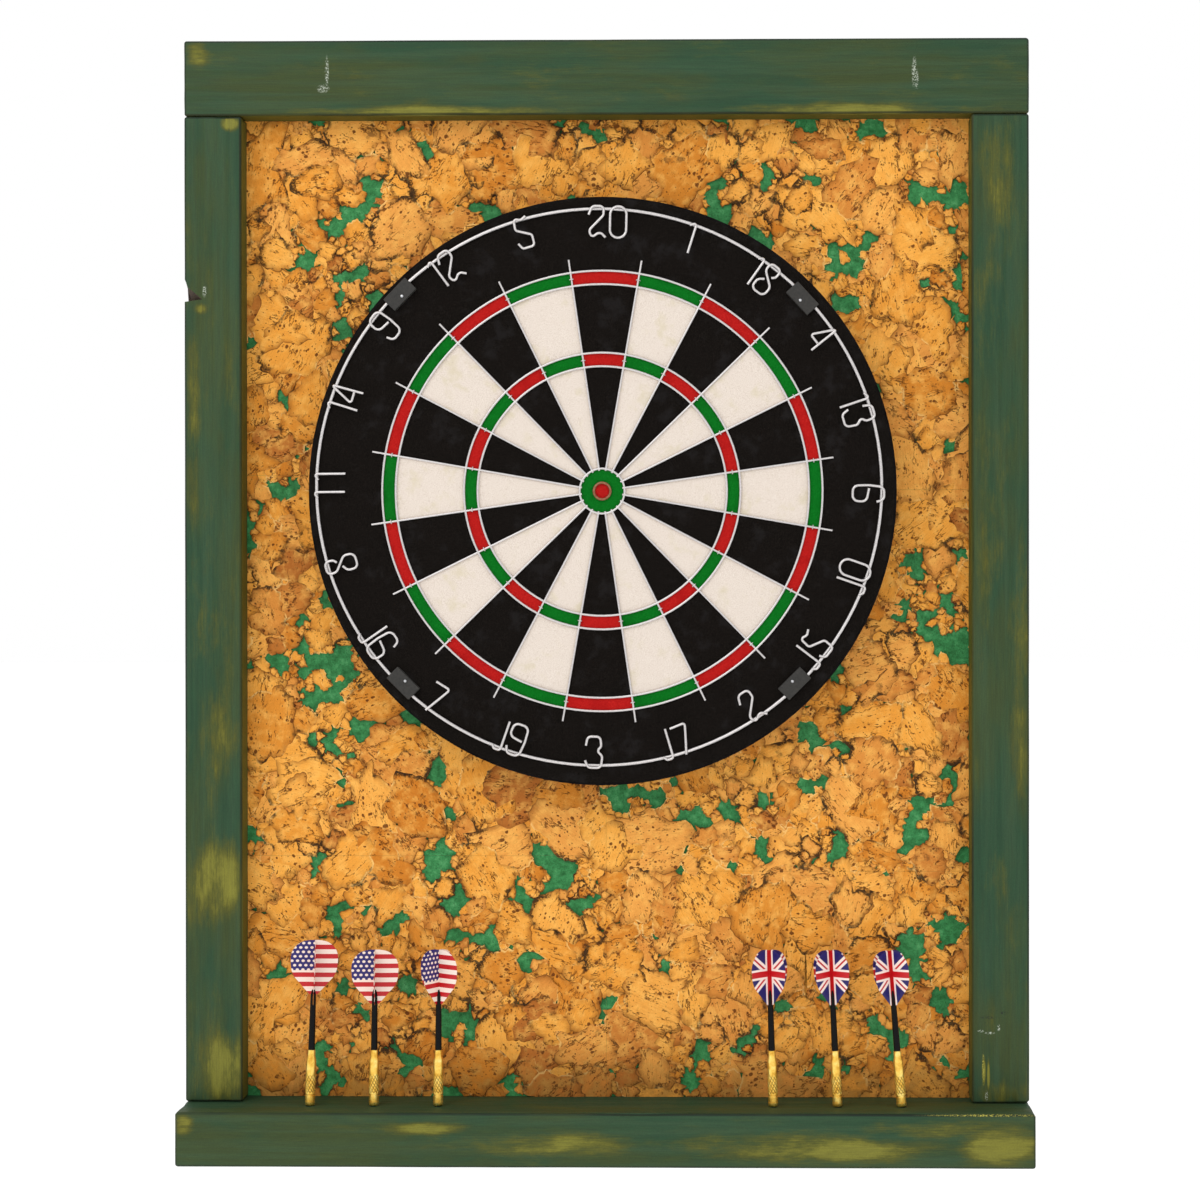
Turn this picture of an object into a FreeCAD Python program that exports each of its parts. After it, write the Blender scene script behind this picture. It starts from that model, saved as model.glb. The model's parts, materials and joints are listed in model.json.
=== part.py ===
import FreeCAD, Part
import math
import os
from FreeCAD import Placement, Rotation, Vector

# Wall-hung dart board cabinet: an open timber frame with a dart shelf at its foot, lined with
# cork tiles, a bristle dart board hung on a steel bracket, and six darts standing in the shelf.
# Millimetres. X runs right, the front faces -Y, Z is up. The origin is the middle of the frame
# on the plane of the wall, so every solid lies at y <= 0.

os.makedirs("parts", exist_ok=True)

X = Vector(1, 0, 0)
Y = Vector(0, 1, 0)
Z = Vector(0, 0, 1)
FORWARD = Vector(0, -1, 0)

# ---- driving dimensions: frame ----
frame_width = 658.0
frame_height = 870.0
frame_depth = 34.0
stile_width = 45.0
rail_height = 59.0
shelf_thickness = 42.0
shelf_depth = 72.0
arris = 2.2
rebate_width = 15.0
ply_thickness = 9.0
cork_thickness = 3.0
rail_overlap = 9.0
tile_size = 300.0
tile_joint_x = -1.0
right_joint_z = 85.0
left_joint_z = 97.0

# ---- driving dimensions: fasteners ----
corner_screw_insets = (13.0, 33.0)
corner_screw_grip = 35.0
corner_screw_radius = 2.2
corner_screw_head = 4.3
panel_screw_heights = (-350, -210, -70, 70, 210, 340)
panel_screw_columns = (-200, -70, 70, 200)
panel_screw_length = 25.0
panel_screw_radius = 1.6
panel_screw_head = 3.2

# ---- driving dimensions: wall hangers ----
plate_x = 200.0
plate_z = 413.0
plate_length = 44.0
plate_width = 18.0
plate_thickness = 1.5
plate_screw_reach = 16.0
keyhole_drop = -2.6
keyhole_radius = 4.5
keyhole_slot_radius = 2.25
keyhole_slot_rise = 8.0
pocket_depth = 9.0
pocket_half_width = 7.0
pocket_half_height = 8.0

# ---- driving dimensions: board hanger, measured from the board's centre ----
bracket_sheet = 1.2
channel_half = 10.0
channel_lift = 2.9
slot_radius = 4.3
bracket_top = 28.0
bracket_bottom = -16.0
foot_length = 15.0
flange_half = 25.0
bracket_screw_places = ((-18.0, 8.0), (18.0, 8.0), (0.0, -24.0))
bush_radius = 4.0
shank_radius = 2.5
shank_grip = 20.0
screw_head_radius = 5.2
screw_head_thickness = 2.0
screw_head_behind = 0.5

# ---- driving dimensions: dart board ----
board_radius = 226.5
board_thickness = 38.0
board_gap = 5.0
board_offset_x = -1.8
board_above_shelf = 475.5
board_turn = 0.8
rim_thickness = 1.5
backing_thickness = 6.0
spoke_radius = 0.8
wire_radius = 0.9
ring_wires = (95.9, 106.4, 159.0, 169.4)
bull_ring_wire = 17.3
bull_eye_wire = 6.4
bull_eye_wire_radius = 1.0
spoke_inner = 15.8
spoke_outer = 179.5
sectors = 20
foot_radius = 10.0
foot_circle = 185.0

# ---- driving dimensions: number ring ----
ring_half_width = 217.3
ring_half_height = 213.9
ring_offset_x = -2.6
ring_offset_z = 2.9
ring_turn = 1.4
hoop_wire_radius = 1.25
numeral_wire_radius = 1.0
ring_clearance = 0.3
numeral_height = 24.0
numeral_overhang = 1.7
clip_length = 24.0
clip_width = 12.4
clip_height = 4.8
clip_lip = 1.2
clip_side_gap = 1.1
clip_angles = (47.3, 135.1, 225.0, 314.2)
pin_inset = 5.1
pin_depth = 12.0
digit_gap = 3.6
wide_digit_gap = 8.8
inverted_shift = 0.8

# ---- driving dimensions: darts ----
dart_pitch = 50.0
inner_dart_x = 130.0
dart_y = -46.0
dart_hole_radius = 2.6
dart_hole_depth = 36.0
barrel_length = 43.5
barrel_radius = 3.85
stem_length = 46.5
flight_height = 42.0
flight_thickness = 0.4
flight_overlap = 11.0
point_radius = 1.15
point_depth = 32.0
point_socket = 8.0
thread_radius = 1.7
thread_length = 7.0
barrel_lift = 0.6
neck_length = 5.0
neck_radius = 2.9
stem_radius = 2.55
stem_tip_radius = 2.1
# Each dart: lean to the right in degrees, turn of its wings about its axis in degrees, and how far
# its flight has crept up the stem.
dart_stances = (
    (1.9, 12.0, 7.5), (0.6, 5.0, 0.0), (0.4, 56.0, 0.0),
    (-1.5, 41.0, 0.0), (-2.6, 47.0, 0.0), (-4.5, 46.0, 0.0),
)

# ---- derived positions ----
half_width = frame_width / 2
half_height = frame_height / 2
shelf_top = -half_height + shelf_thickness
rail_bottom = half_height - rail_height
opening_half = half_width - stile_width
panel_half = opening_half + rebate_width
panel_top = rail_bottom + rail_overlap
cork_face = -(ply_thickness + cork_thickness)
board_x = board_offset_x
board_z = shelf_top + board_above_shelf
board_back = cork_face - board_gap
board_face = board_back - board_thickness
core_radius = board_radius - rim_thickness
ring_x = board_x + ring_offset_x
ring_z = board_z + ring_offset_z
hoop_y = board_face - ring_clearance - hoop_wire_radius
numeral_y = hoop_y - hoop_wire_radius - numeral_wire_radius


def box(x0, x1, y0, y1, z0, z1):
    return Part.makeBox(x1 - x0, y1 - y0, z1 - z0, Vector(x0, y0, z0))


def rod(radius, start, end):
    way = end - start
    return Part.makeCylinder(radius, way.Length, start, way)


def disc(radius, x, z, y_back, y_front):
    """A cylinder whose axis runs front to back."""
    return rod(radius, Vector(x, y_back, z), Vector(x, y_front, z))


def turned(profile, at, along, spin=0.0):
    """Solid of revolution from (radius, height) points, its height running along a direction."""
    points = [Vector(r, 0, h) for r, h in profile]
    wire = Part.makePolygon(points + [points[0]])
    solid = Part.Face(wire).revolve(Vector(), Z, 360)
    return placed(solid, at, along, spin)


def placed(shape, at, along=Z, spin=0.0):
    """Put a shape drawn about +Z at a place, its +Z along a direction, spun about its own axis."""
    shape = shape.copy()
    shape.Placement = Placement(at, Rotation(Z, along) * Rotation(Z, spin))
    return shape


def cut_all(shape, tools):
    return shape.cut(Part.makeCompound(tools))


def save(name, *solids):
    Part.makeCompound(list(solids)).exportStep(f"parts/{name}.step")


def clock(angle, radius, x, z, y):
    """Point at an angle clockwise from the top, seen from the front."""
    a = math.radians(angle)
    return Vector(x + radius * math.sin(a), y, z + radius * math.cos(a))


# ---------------------------------------------------------------- fasteners

def wood_screw(at, along, length, shank_radius, head_radius):
    """Countersunk screw: the flat of its head is at a place and its tip points along a direction."""
    head = head_radius - shank_radius
    tip = shank_radius * 2
    profile = [(0, 0), (head_radius, 0), (shank_radius, head), (shank_radius, length - tip), (0, length)]
    return turned(profile, at, along)


def pan_screw(at, along, length, shank_radius, head_radius, head_height):
    """Pan-head screw: the underside of its head is at a place."""
    tip = shank_radius * 2
    profile = [
        (0, -head_height), (head_radius * 0.7, -head_height), (head_radius, -head_height * 0.4),
        (head_radius, 0), (shank_radius, 0), (shank_radius, length - tip), (0, length),
    ]
    return turned(profile, at, along)


def corner_screws():
    """Two long screws through the rail and two through the shelf into each stile's end grain."""
    screws = []
    for side in (-1, 1):
        for inset in corner_screw_insets:
            x = side * (half_width - inset)
            top = Vector(x, -frame_depth * 0.6, half_height)
            bottom = Vector(x, -frame_depth * 0.6, -half_height)
            for at, along, timber in ((top, -Z, rail_height), (bottom, Z, shelf_thickness)):
                length = timber + corner_screw_grip
                screws.append(wood_screw(at, along, length, corner_screw_radius, corner_screw_head))
    return screws


def panel_screws():
    """Short screws through the back panel's edge into the frame's rebate."""
    edge = opening_half + rebate_width / 2
    places = [Vector(side * edge, 0, z) for side in (-1, 1) for z in panel_screw_heights]
    places += [Vector(x, 0, rail_bottom + rail_overlap / 2) for x in panel_screw_columns]
    return [
        wood_screw(at, FORWARD, panel_screw_length, panel_screw_radius, panel_screw_head) for at in places
    ]


# ---------------------------------------------------------------- timber frame

def timber(x0, x1, y0, y1, z0, z1):
    """A planed bar with all of its edges rubbed round."""
    bar = box(x0, x1, y0, y1, z0, z1)
    return bar.makeFillet(arris, bar.Edges)


def panel_rebate():
    return box(-panel_half, panel_half, cork_face, 1, shelf_top, panel_top)


def top_rail(screws):
    bar = timber(-half_width, half_width, -frame_depth, 0, rail_bottom, half_height)
    return cut_all(bar, [panel_rebate()] + hanger_recesses() + screws)


def stile(side, screws):
    ends = sorted((side * opening_half, side * half_width))
    bar = timber(ends[0], ends[1], -frame_depth, 0, shelf_top, rail_bottom)
    return cut_all(bar, [panel_rebate()] + screws)


def dart_shelf(screws):
    bar = timber(-half_width, half_width, -shelf_depth, 0, -half_height, shelf_top)
    holes = []
    for x in dart_places():
        mouth = Vector(x, dart_y, shelf_top + 1)
        holes.append(rod(dart_hole_radius, mouth - Z * (dart_hole_depth + 1), mouth))
    return cut_all(bar, holes + screws)


def back_panel(screws):
    panel = box(-panel_half, panel_half, -ply_thickness, 0, shelf_top, panel_top)
    return cut_all(panel, screws)


def cork_tiles(screws):
    """Two columns of tiles butted edge to edge, the left column's joints higher than the right's."""
    columns = {
        "left": (-panel_half, tile_joint_x, left_joint_z),
        "right": (tile_joint_x, panel_half, right_joint_z),
    }
    for side, (x0, x1, joint) in columns.items():
        rows = {
            "top": (joint, panel_top),
            "middle": (joint - tile_size, joint),
            "bottom": (shelf_top, joint - tile_size),
        }
        for row, (z0, z1) in rows.items():
            tile = box(x0, x1, cork_face, -ply_thickness, z0, z1)
            save(f"cork_tile_{side}_{row}", cut_all(tile, screws))


# ---------------------------------------------------------------- wall hangers

def hanger_recesses():
    """A shallow seat for each keyhole plate and a pocket behind it for the wall screw's head."""
    cuts = []
    for x in (-plate_x, plate_x):
        seat = box(x - plate_length / 2, x + plate_length / 2, -plate_thickness, 1,
                   plate_z - plate_width / 2, plate_z + plate_width / 2)
        pocket = box(x - pocket_half_width, x + pocket_half_width, -plate_thickness - pocket_depth, 0,
                     plate_z - pocket_half_height, plate_z + pocket_half_height)
        cuts += [seat, pocket] + plate_screws(x)
    return cuts


def plate_screws(x):
    heads = [Vector(x + side * plate_screw_reach, 0, plate_z) for side in (-1, 1)]
    return [wood_screw(at, FORWARD, 16, 1.5, 3.0) for at in heads]


def hanger_plate(x):
    """Steel strip with a keyhole: a round hole for the screw's head and a slot rising from it."""
    strip = box(x - plate_length / 2, x + plate_length / 2, -plate_thickness, 0,
                plate_z - plate_width / 2, plate_z + plate_width / 2)
    hole_z = plate_z + keyhole_drop
    slot_z = hole_z + keyhole_slot_rise
    keyhole = disc(keyhole_radius, x, hole_z, 1, -plate_thickness - 1).fuse([
        disc(keyhole_slot_radius, x, slot_z, 1, -plate_thickness - 1),
        box(x - keyhole_slot_radius, x + keyhole_slot_radius, -plate_thickness - 1, 1, hole_z, slot_z),
    ])
    return strip.cut(keyhole).cut(Part.makeCompound(plate_screws(x)))


# ---------------------------------------------------------------- board hanger

def bracket_screws():
    seat = cork_face - bracket_sheet
    heads = [Vector(board_x + dx, seat, board_z + dz) for dx, dz in bracket_screw_places]
    return [pan_screw(at, Y, 9.5, 1.4, 2.8, 1.6) for at in heads]


def hanging_bracket(screws):
    """Pressed steel cleat: a raised channel with an open-topped slot, and three flanges."""
    x, z = board_x, board_z
    top, bottom = z + bracket_top, z + bracket_bottom
    outer = channel_half + bracket_sheet
    front = cork_face - channel_lift - bracket_sheet
    flange = box(x - flange_half, x + flange_half, cork_face - bracket_sheet, cork_face, bottom, top - 8)
    foot = box(x - outer, x + outer, cork_face - bracket_sheet, cork_face, bottom - foot_length,
               bottom)
    raised = box(x - outer, x + outer, front, cork_face, bottom, top)
    hollow = box(x - channel_half, x + channel_half, front + bracket_sheet, cork_face,
                 bottom + bracket_sheet, top + 1)
    slot = disc(slot_radius, x, z, cork_face, front - 1).fuse(
        box(x - slot_radius, x + slot_radius, front - 1, cork_face - 1, z, top + 1))
    cleat = raised.fuse([flange, foot]).removeSplitter().cut(hollow).cut(slot)
    return cut_all(cleat, screws)


def hanger_bush():
    """Nylon collar on the board's screw, which rests in the bracket's slot."""
    back = cork_face - 2.7
    front = board_back + 0.1
    bore = disc(shank_radius + 0.05, board_x, board_z, back + 1, front - 1)
    return disc(bush_radius, board_x, board_z, back, front).cut(bore)


def hanger_screw():
    head_back = cork_face - screw_head_behind
    head_front = head_back - screw_head_thickness
    head = disc(screw_head_radius, board_x, board_z, head_back, head_front)
    shank = disc(shank_radius, board_x, board_z, head_front, board_back - shank_grip)
    return head.fuse(shank)


# ---------------------------------------------------------------- dart board

def board_core(holes):
    """Compressed sisal disc that the darts stick in."""
    core = disc(core_radius, board_x, board_z, board_back - backing_thickness, board_face)
    rim = [e for e in core.Edges if abs(e.BoundBox.YMin - board_face) + e.BoundBox.YLength < 0.02]
    return cut_all(core.makeFillet(1.0, rim), holes)


def board_backing(holes):
    return cut_all(disc(core_radius, board_x, board_z, board_back, board_back - backing_thickness), holes)


def rim_band():
    outer = disc(board_radius, board_x, board_z, board_back, board_face + 1.2)
    return outer.cut(disc(core_radius, board_x, board_z, board_back + 1, board_face - 1))


def ring_wire(radius, thickness, y):
    return Part.makeTorus(radius, thickness, Vector(board_x, y, board_z), Y)


def wire_spider():
    """The welded wire grid: twenty spokes, four scoring rings and the outer bull ring."""
    y = board_face - wire_radius
    wires = []
    for k in range(sectors):
        angle = board_turn + (k + 0.5) * 360 / sectors
        start = clock(angle, spoke_inner, board_x, board_z, y)
        wires.append(rod(spoke_radius, start, clock(angle, spoke_outer, board_x, board_z, y)))
    grid = ring_wire(bull_ring_wire, wire_radius, y)
    for radius in ring_wires:
        grid = grid.fuse(ring_wire(radius, wire_radius, y))
    for spoke in wires:
        grid = grid.fuse(spoke)
    return grid


def bull_eye_ring():
    return ring_wire(bull_eye_wire, bull_eye_wire_radius, board_face - bull_eye_wire_radius)


def staple():
    """Small bridge over a wire that runs along Z, its legs down to the plane y = 0."""
    reach = wire_radius + 0.55
    top = 2 * wire_radius + 0.5
    path = bent_path([Vector(-reach, 0, 0), Vector(-reach, -top, 0), Vector(reach, -top, 0),
                      Vector(reach, 0, 0)], 0.6)
    return pipe(path, 0.4)


def wire_staples():
    one = staple()
    staples = []
    for radius in ((ring_wires[0] + ring_wires[1]) / 2, (ring_wires[2] + ring_wires[3]) / 2):
        for k in range(sectors):
            angle = board_turn + (k + 0.5) * 360 / sectors
            copy = one.copy()
            at = clock(angle, radius, board_x, board_z, board_face)
            copy.Placement = Placement(at, Rotation(Y, angle))
            staples.append(copy)
    return staples


def board_feet():
    feet = []
    for angle in (60, 180, 300):
        at = clock(angle, foot_circle, board_x, board_z, board_back)
        feet.append(disc(foot_radius, at.x, at.z, board_back, cork_face - 0.3))
    return feet


# ---------------------------------------------------------------- number ring

def bent_path(points, radius):
    """Straight runs through the points, joined by tangent arcs, like a bent wire."""
    edges = []
    start = points[0]
    for before, corner, after in zip(points, points[1:], points[2:]):
        into = (before - corner).normalize()
        out = (after - corner).normalize()
        half = into.getAngle(out) / 2
        shorter = min((corner - before).Length, (after - corner).Length)
        reach = min(radius / math.tan(half), shorter * 0.49)
        bend = reach * math.tan(half)
        middle = corner + (into + out).normalize() * (bend / math.sin(half) - bend)
        first = corner + into * reach
        last = corner + out * reach
        edges.append(Part.LineSegment(start, first).toShape())
        edges.append(Part.Arc(first, middle, last).toShape())
        start = last
    edges.append(Part.LineSegment(start, points[-1]).toShape())
    return Part.Wire(edges)


def pipe(path, radius):
    first = path.Edges[0]
    start = first.valueAt(first.FirstParameter)
    tangent = first.tangentAt(first.FirstParameter)
    section = Part.Face(Part.Wire(Part.makeCircle(radius, start, tangent)))
    return path.makePipe(section)


# Wire digits, drawn upright in a field numeral_height tall: (width, bend radius, corner points).
digits = {
    "0": (12.5, 6.0, None),
    "1": (5.2, 1.4, [(0, 20.8), (4.6, 24), (5.4, 0)]),
    "hooked 1": (5.2, 2.0, [(-2.2, 3.0), (0.2, 0), (5.2, 0), (5.2, 23.4)]),
    "2": (13.0, 3.6, [(0, 17.2), (2.6, 24), (11.6, 24), (11.4, 17), (0.6, 5.4), (2.6, -0.4), (9.0, 4.4),
                      (13.4, 0)]),
    "3": (12.5, 3.4, [(0.4, 17), (1.6, 24), (11.4, 24), (12.2, 16.4), (9.0, 13.2), (13.2, 9), (12.2, 0),
                      (2.4, 0), (0, 5.6)]),
    "4": (10.5, 1.5, [(10.5, 0), (8.8, 24), (7.4, 22.6), (0.2, 6.4), (9.0, 6.9)]),
    "5": (12.0, 2.6, [(11.6, 23.6), (7.4, 21.6), (2.2, 24), (1.2, 15), (12.6, 8.6), (12.2, 0), (2.8, 0),
                      (0.6, 4.6)]),
    "6": (12.5, 4.4, [(12.6, 18.4), (10.8, 24), (1.2, 24), (0, 12), (0.6, 0), (12.2, 0), (12.8, 10.6),
                      (2.4, 12.4)]),
    "7": (12.0, 1.6, [(0, 22.4), (12.2, 23.6), (10.8, 17), (6.6, 0)]),
    "8": (12.0, 4.6, [(4.4, 11.2), (0.2, 8.2), (0, 0), (11.6, 0), (12, 8.4), (1.2, 17), (1, 24), (11, 24),
                      (10.8, 17), (8.2, 14.9)]),
}
numbers = (20, 1, 18, 4, 13, 6, 10, 15, 2, 17, 3, 19, 7, 16, 8, 11, 14, 9, 12, 5)
inverted = (10, 15, 2, 17, 3, 19, 7, 16)
# Sideways slip of a number along the hoop from its true place.
numeral_shifts = {20: 2.0, 1: 2.2, 18: 1.6, 4: 1.3, 7: -2.5, 11: -3.9, 14: -1.6, 9: -0.9, 12: -1.4}


def oval_path(width, height):
    """Closed oval with straight sides."""
    r = width / 2
    a = Vector(0, 0, r)
    b = Vector(0, 0, height - r)
    c = b + X * width
    d = a + X * width
    return Part.Wire([
        Part.LineSegment(a, b).toShape(),
        Part.Arc(b, b + Vector(r, 0, r), c).toShape(),
        Part.LineSegment(c, d).toShape(),
        Part.Arc(d, a + Vector(r, 0, -r), a).toShape(),
    ])


def digit_solid(name):
    if name == "0":
        return pipe(oval_path(digits["0"][0], numeral_height), numeral_wire_radius)
    if name == "9":
        six = digit_solid("6")
        six.rotate(Vector(digits["6"][0] / 2, 0, numeral_height / 2), Y, 180)
        return six
    bend, corners = digits[name][1:]
    return pipe(bent_path([Vector(u, 0, v) for u, v in corners], bend), numeral_wire_radius)


def digit_width(name):
    return digits["6" if name == "9" else name][0]


def hoop_point(angle):
    """Point on the slightly flattened hoop, at an angle clockwise from its top."""
    a = math.radians(angle)
    r = ring_half_width * ring_half_height / math.hypot(
        ring_half_height * math.sin(a), ring_half_width * math.cos(a))
    return clock(angle, r, ring_x, ring_z, hoop_y)


def ring_numerals():
    """Bent wire numbers whose tops, or feet where they stand inverted, hook over the hoop."""
    solids = []
    for place, number in enumerate(numbers):
        flip = number in inverted
        names = ["hooked 1" if c == "1" and flip else c for c in str(number)]
        gap = wide_digit_gap if number == 11 else digit_gap
        width = sum(digit_width(n) for n in names) + gap * (len(names) - 1)
        angle = place * 360 / sectors + ring_turn
        at = hoop_point(angle)
        stand = Placement(Vector(at.x, numeral_y, at.z), Rotation(Y, angle + (180 if flip else 0)))
        low = -numeral_overhang if flip else numeral_overhang - numeral_height
        pen = numeral_shifts.get(number, inverted_shift if flip else 0) - width / 2
        for name in names:
            digit = digit_solid(name)
            digit.Placement = stand * Placement(Vector(pen, 0, low), Rotation()) * digit.Placement
            solids.append(digit)
            pen += digit_width(name) + gap
    return solids


def number_hoop():
    """Wire hoop that has been pressed slightly flat: four tangent arcs that meet near its corners."""
    shift = (ring_half_width - ring_half_height) / (2 - math.sqrt(2))
    corner_z = (ring_half_width - shift) * math.sqrt(0.5)
    corner_x = corner_z + shift
    corners = [Vector(x * corner_x, 0, z * corner_z) for x, z in ((-1, 1), (1, 1), (1, -1), (-1, -1))]
    middles = [Z * ring_half_height, X * ring_half_width, -Z * ring_half_height, -X * ring_half_width]
    arcs = [Part.Arc(corners[k], middles[k], corners[(k + 1) % 4]).toShape() for k in range(4)]
    path = Part.Wire(arcs)
    path.translate(Vector(ring_x, hoop_y, ring_z))
    return pipe(path, hoop_wire_radius)


def clip_frame(angle):
    """Place for a clip on the board's face: its +Z points outward, at the hoop's wire."""
    at = hoop_point(angle)
    return Placement(Vector(at.x, board_face, at.z), Rotation(Y, angle))


def clip_pin():
    """Round-headed pin through a clip into the board, inside the hoop's wire."""
    top = clip_height
    profile = [
        (0, -pin_depth), (0.8, 2 - pin_depth), (0.8, top), (1.3, top), (1.0, top + 0.6), (0, top + 0.8),
    ]
    return turned(profile, Vector(0, 0, -pin_inset), FORWARD)


def ring_clip():
    """Moulded clip that bridges the hoop: a block with a groove along its underside."""
    groove = hoop_wire_radius + clip_side_gap
    outer = groove + clip_lip
    block = box(-clip_length / 2, clip_length / 2, -clip_height, 0, outer - clip_width, outer)
    edges = [e for e in block.Edges if e.BoundBox.YMin < -clip_height + 0.01]
    block = block.makeFillet(0.7, edges)
    channel = box(-clip_length, clip_length, -2 * hoop_wire_radius - 2 * ring_clearance, 1, -groove, groove)
    return block.cut(channel).cut(clip_pin())


def at_clips(shape):
    shapes = []
    for angle in clip_angles:
        copy = shape.copy()
        copy.Placement = clip_frame(angle).multiply(copy.Placement)
        shapes.append(copy)
    return shapes


# ---------------------------------------------------------------- darts

def dart_places():
    right = [inner_dart_x + k * dart_pitch for k in range(3)]
    return [-x for x in reversed(right)] + right


def dart_point():
    taper = 4 - point_depth
    return [(0, -point_depth), (point_radius, taper), (point_radius, point_socket), (0, point_socket)]


def dart_barrel():
    """Brass barrel: blind sockets for the point and for the stem's thread, and a narrower neck."""
    top = barrel_length
    return [
        (point_radius, barrel_lift), (barrel_radius - 0.7, barrel_lift), (barrel_radius, barrel_lift + 1.4),
        (barrel_radius, 8.0), (barrel_radius - 0.35, 8.4), (barrel_radius - 0.35, 9.0), (barrel_radius, 9.4),
        (barrel_radius, top - neck_length - 2.2), (neck_radius, top - neck_length), (neck_radius, top),
        (thread_radius, top), (thread_radius, top - thread_length), (0, top - thread_length),
        (0, point_socket), (point_radius, point_socket),
    ]


def stem_blank():
    top = barrel_length + stem_length
    return [
        (0, barrel_length - thread_length), (thread_radius, barrel_length - thread_length),
        (thread_radius, barrel_length), (stem_radius, barrel_length), (stem_tip_radius, top - 4),
        (stem_tip_radius * 0.55, top), (0, top),
    ]


def dart_stem():
    """Plastic stem, its top split crosswise into four prongs that grip the flight."""
    stem = turned(stem_blank(), Vector(), Z)
    top = barrel_length + stem_length
    gap = flight_thickness / 2 + 0.1
    low = top - flight_overlap - 1
    return stem.cut(box(-5, 5, -gap, gap, low, top + 1)).cut(box(-gap, gap, -5, 5, low, top + 1))


def flight_outline():
    """One pair of wings, drawn in the plane y = 0 with its foot at z = 0."""
    h = flight_height
    right = [Vector(3.2, 0, 0), Vector(15.2, 0, 13.6), Vector(17.4, 0, 19), Vector(18, 0, 25),
             Vector(15.6, 0, 36), Vector(3.4, 0, h)]
    left = [Vector(-p.x, 0, p.z) for p in right]
    return Part.Wire([
        Part.LineSegment(right[0], right[1]).toShape(),
        Part.Arc(right[1], right[2], right[3]).toShape(),
        Part.Arc(right[3], right[4], right[5]).toShape(),
        Part.LineSegment(right[5], left[5]).toShape(),
        Part.Arc(left[5], left[4], left[3]).toShape(),
        Part.Arc(left[3], left[2], left[1]).toShape(),
        Part.LineSegment(left[1], left[0]).toShape(),
        Part.LineSegment(left[0], right[0]).toShape(),
    ])


def dart_flight(creep):
    wings = Part.Face(flight_outline()).extrude(Y * flight_thickness)
    wings.translate(Vector(0, -flight_thickness / 2, barrel_length + stem_length - flight_overlap + creep))
    other = wings.copy()
    other.rotate(Vector(), Z, 90)
    return wings.fuse(other)


def dart(number, x, lean, wing_turn, creep):
    """A leaning dart rests on one side of its hole's mouth and on the other side of its foot."""
    a = math.radians(lean)
    along = Vector(math.sin(a), 0, math.cos(a))
    mouth = Vector(x + point_depth / 2 * math.tan(a), dart_y, shelf_top)
    save(f"dart_{number}_point", turned(dart_point(), mouth, along))
    save(f"dart_{number}_barrel", turned(dart_barrel(), mouth, along))
    save(f"dart_{number}_stem", placed(dart_stem(), mouth, along, wing_turn))
    save(f"dart_{number}_flight", placed(dart_flight(creep), mouth, along, wing_turn))


# ---------------------------------------------------------------- build every node

def build_frame():
    long_screws = corner_screws()
    short_screws = panel_screws()
    save("top_rail", top_rail(long_screws + short_screws))
    save("left_stile", stile(-1, long_screws + short_screws))
    save("right_stile", stile(1, long_screws + short_screws))
    save("dart_shelf", dart_shelf(long_screws))
    save("back_panel", back_panel(short_screws + bracket_screws()))
    cork_tiles(short_screws + bracket_screws())
    save("frame_screws", *long_screws)
    save("panel_screws", *short_screws)
    save("hanger_plates", hanger_plate(-plate_x), hanger_plate(plate_x))
    save("hanger_plate_screws", *(plate_screws(-plate_x) + plate_screws(plate_x)))
    save("hanging_bracket", hanging_bracket(bracket_screws()))
    save("bracket_screws", *bracket_screws())


def build_board():
    pins = at_clips(clip_pin())
    save("hanger_bush", hanger_bush())
    save("hanger_screw", hanger_screw())
    save("board_backing", board_backing([hanger_screw()]))
    save("board_core", board_core([hanger_screw()] + pins))
    save("rim_band", rim_band())
    save("wire_spider", wire_spider())
    save("bull_eye_ring", bull_eye_ring())
    save("wire_staples", *wire_staples())
    save("board_feet", *board_feet())
    save("ring_clips", *at_clips(ring_clip()))
    save("clip_pins", *pins)


def build_number_ring():
    save("number_hoop", number_hoop())
    save("ring_numerals", *ring_numerals())


build_frame()
build_board()
build_number_ring()
for count, (place, stance) in enumerate(zip(dart_places(), dart_stances), start=1):
    dart(count, place, *stance)
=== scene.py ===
import json
import math

import bmesh
import bpy
import numpy as np
from mathutils import Matrix, Vector


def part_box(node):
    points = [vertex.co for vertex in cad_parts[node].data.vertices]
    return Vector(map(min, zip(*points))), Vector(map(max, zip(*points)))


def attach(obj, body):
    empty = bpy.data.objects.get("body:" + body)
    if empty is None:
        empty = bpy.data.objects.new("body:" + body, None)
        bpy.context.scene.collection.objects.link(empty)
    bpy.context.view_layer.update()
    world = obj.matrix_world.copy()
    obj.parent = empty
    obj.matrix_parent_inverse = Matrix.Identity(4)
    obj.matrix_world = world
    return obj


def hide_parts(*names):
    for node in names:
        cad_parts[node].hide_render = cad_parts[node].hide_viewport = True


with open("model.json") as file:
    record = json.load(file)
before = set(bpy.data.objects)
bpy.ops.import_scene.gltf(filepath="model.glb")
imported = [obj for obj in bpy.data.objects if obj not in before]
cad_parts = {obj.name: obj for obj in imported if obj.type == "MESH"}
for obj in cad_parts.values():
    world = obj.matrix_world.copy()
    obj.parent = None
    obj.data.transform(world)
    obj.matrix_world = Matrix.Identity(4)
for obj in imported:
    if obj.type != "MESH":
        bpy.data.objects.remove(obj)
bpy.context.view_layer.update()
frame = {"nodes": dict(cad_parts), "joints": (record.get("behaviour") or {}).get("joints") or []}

# Lengths are millimetres unless a comment says otherwise; meshes are scaled to metres as they are
# made. X runs right, the front faces -Y, Z is up, and y = 0 is the wall.
MM = 0.001

# ---- sizes shared with the frame ----
arris = 2.2
step_along = 9.0
step_across = 3.0
planed_depth = 0.12
rub_depth = 0.45
rub_size = 34
wave_depth = 0.05
wave_size = 26
cork_relief = 2.4
tile_gap = 0.06
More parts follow.
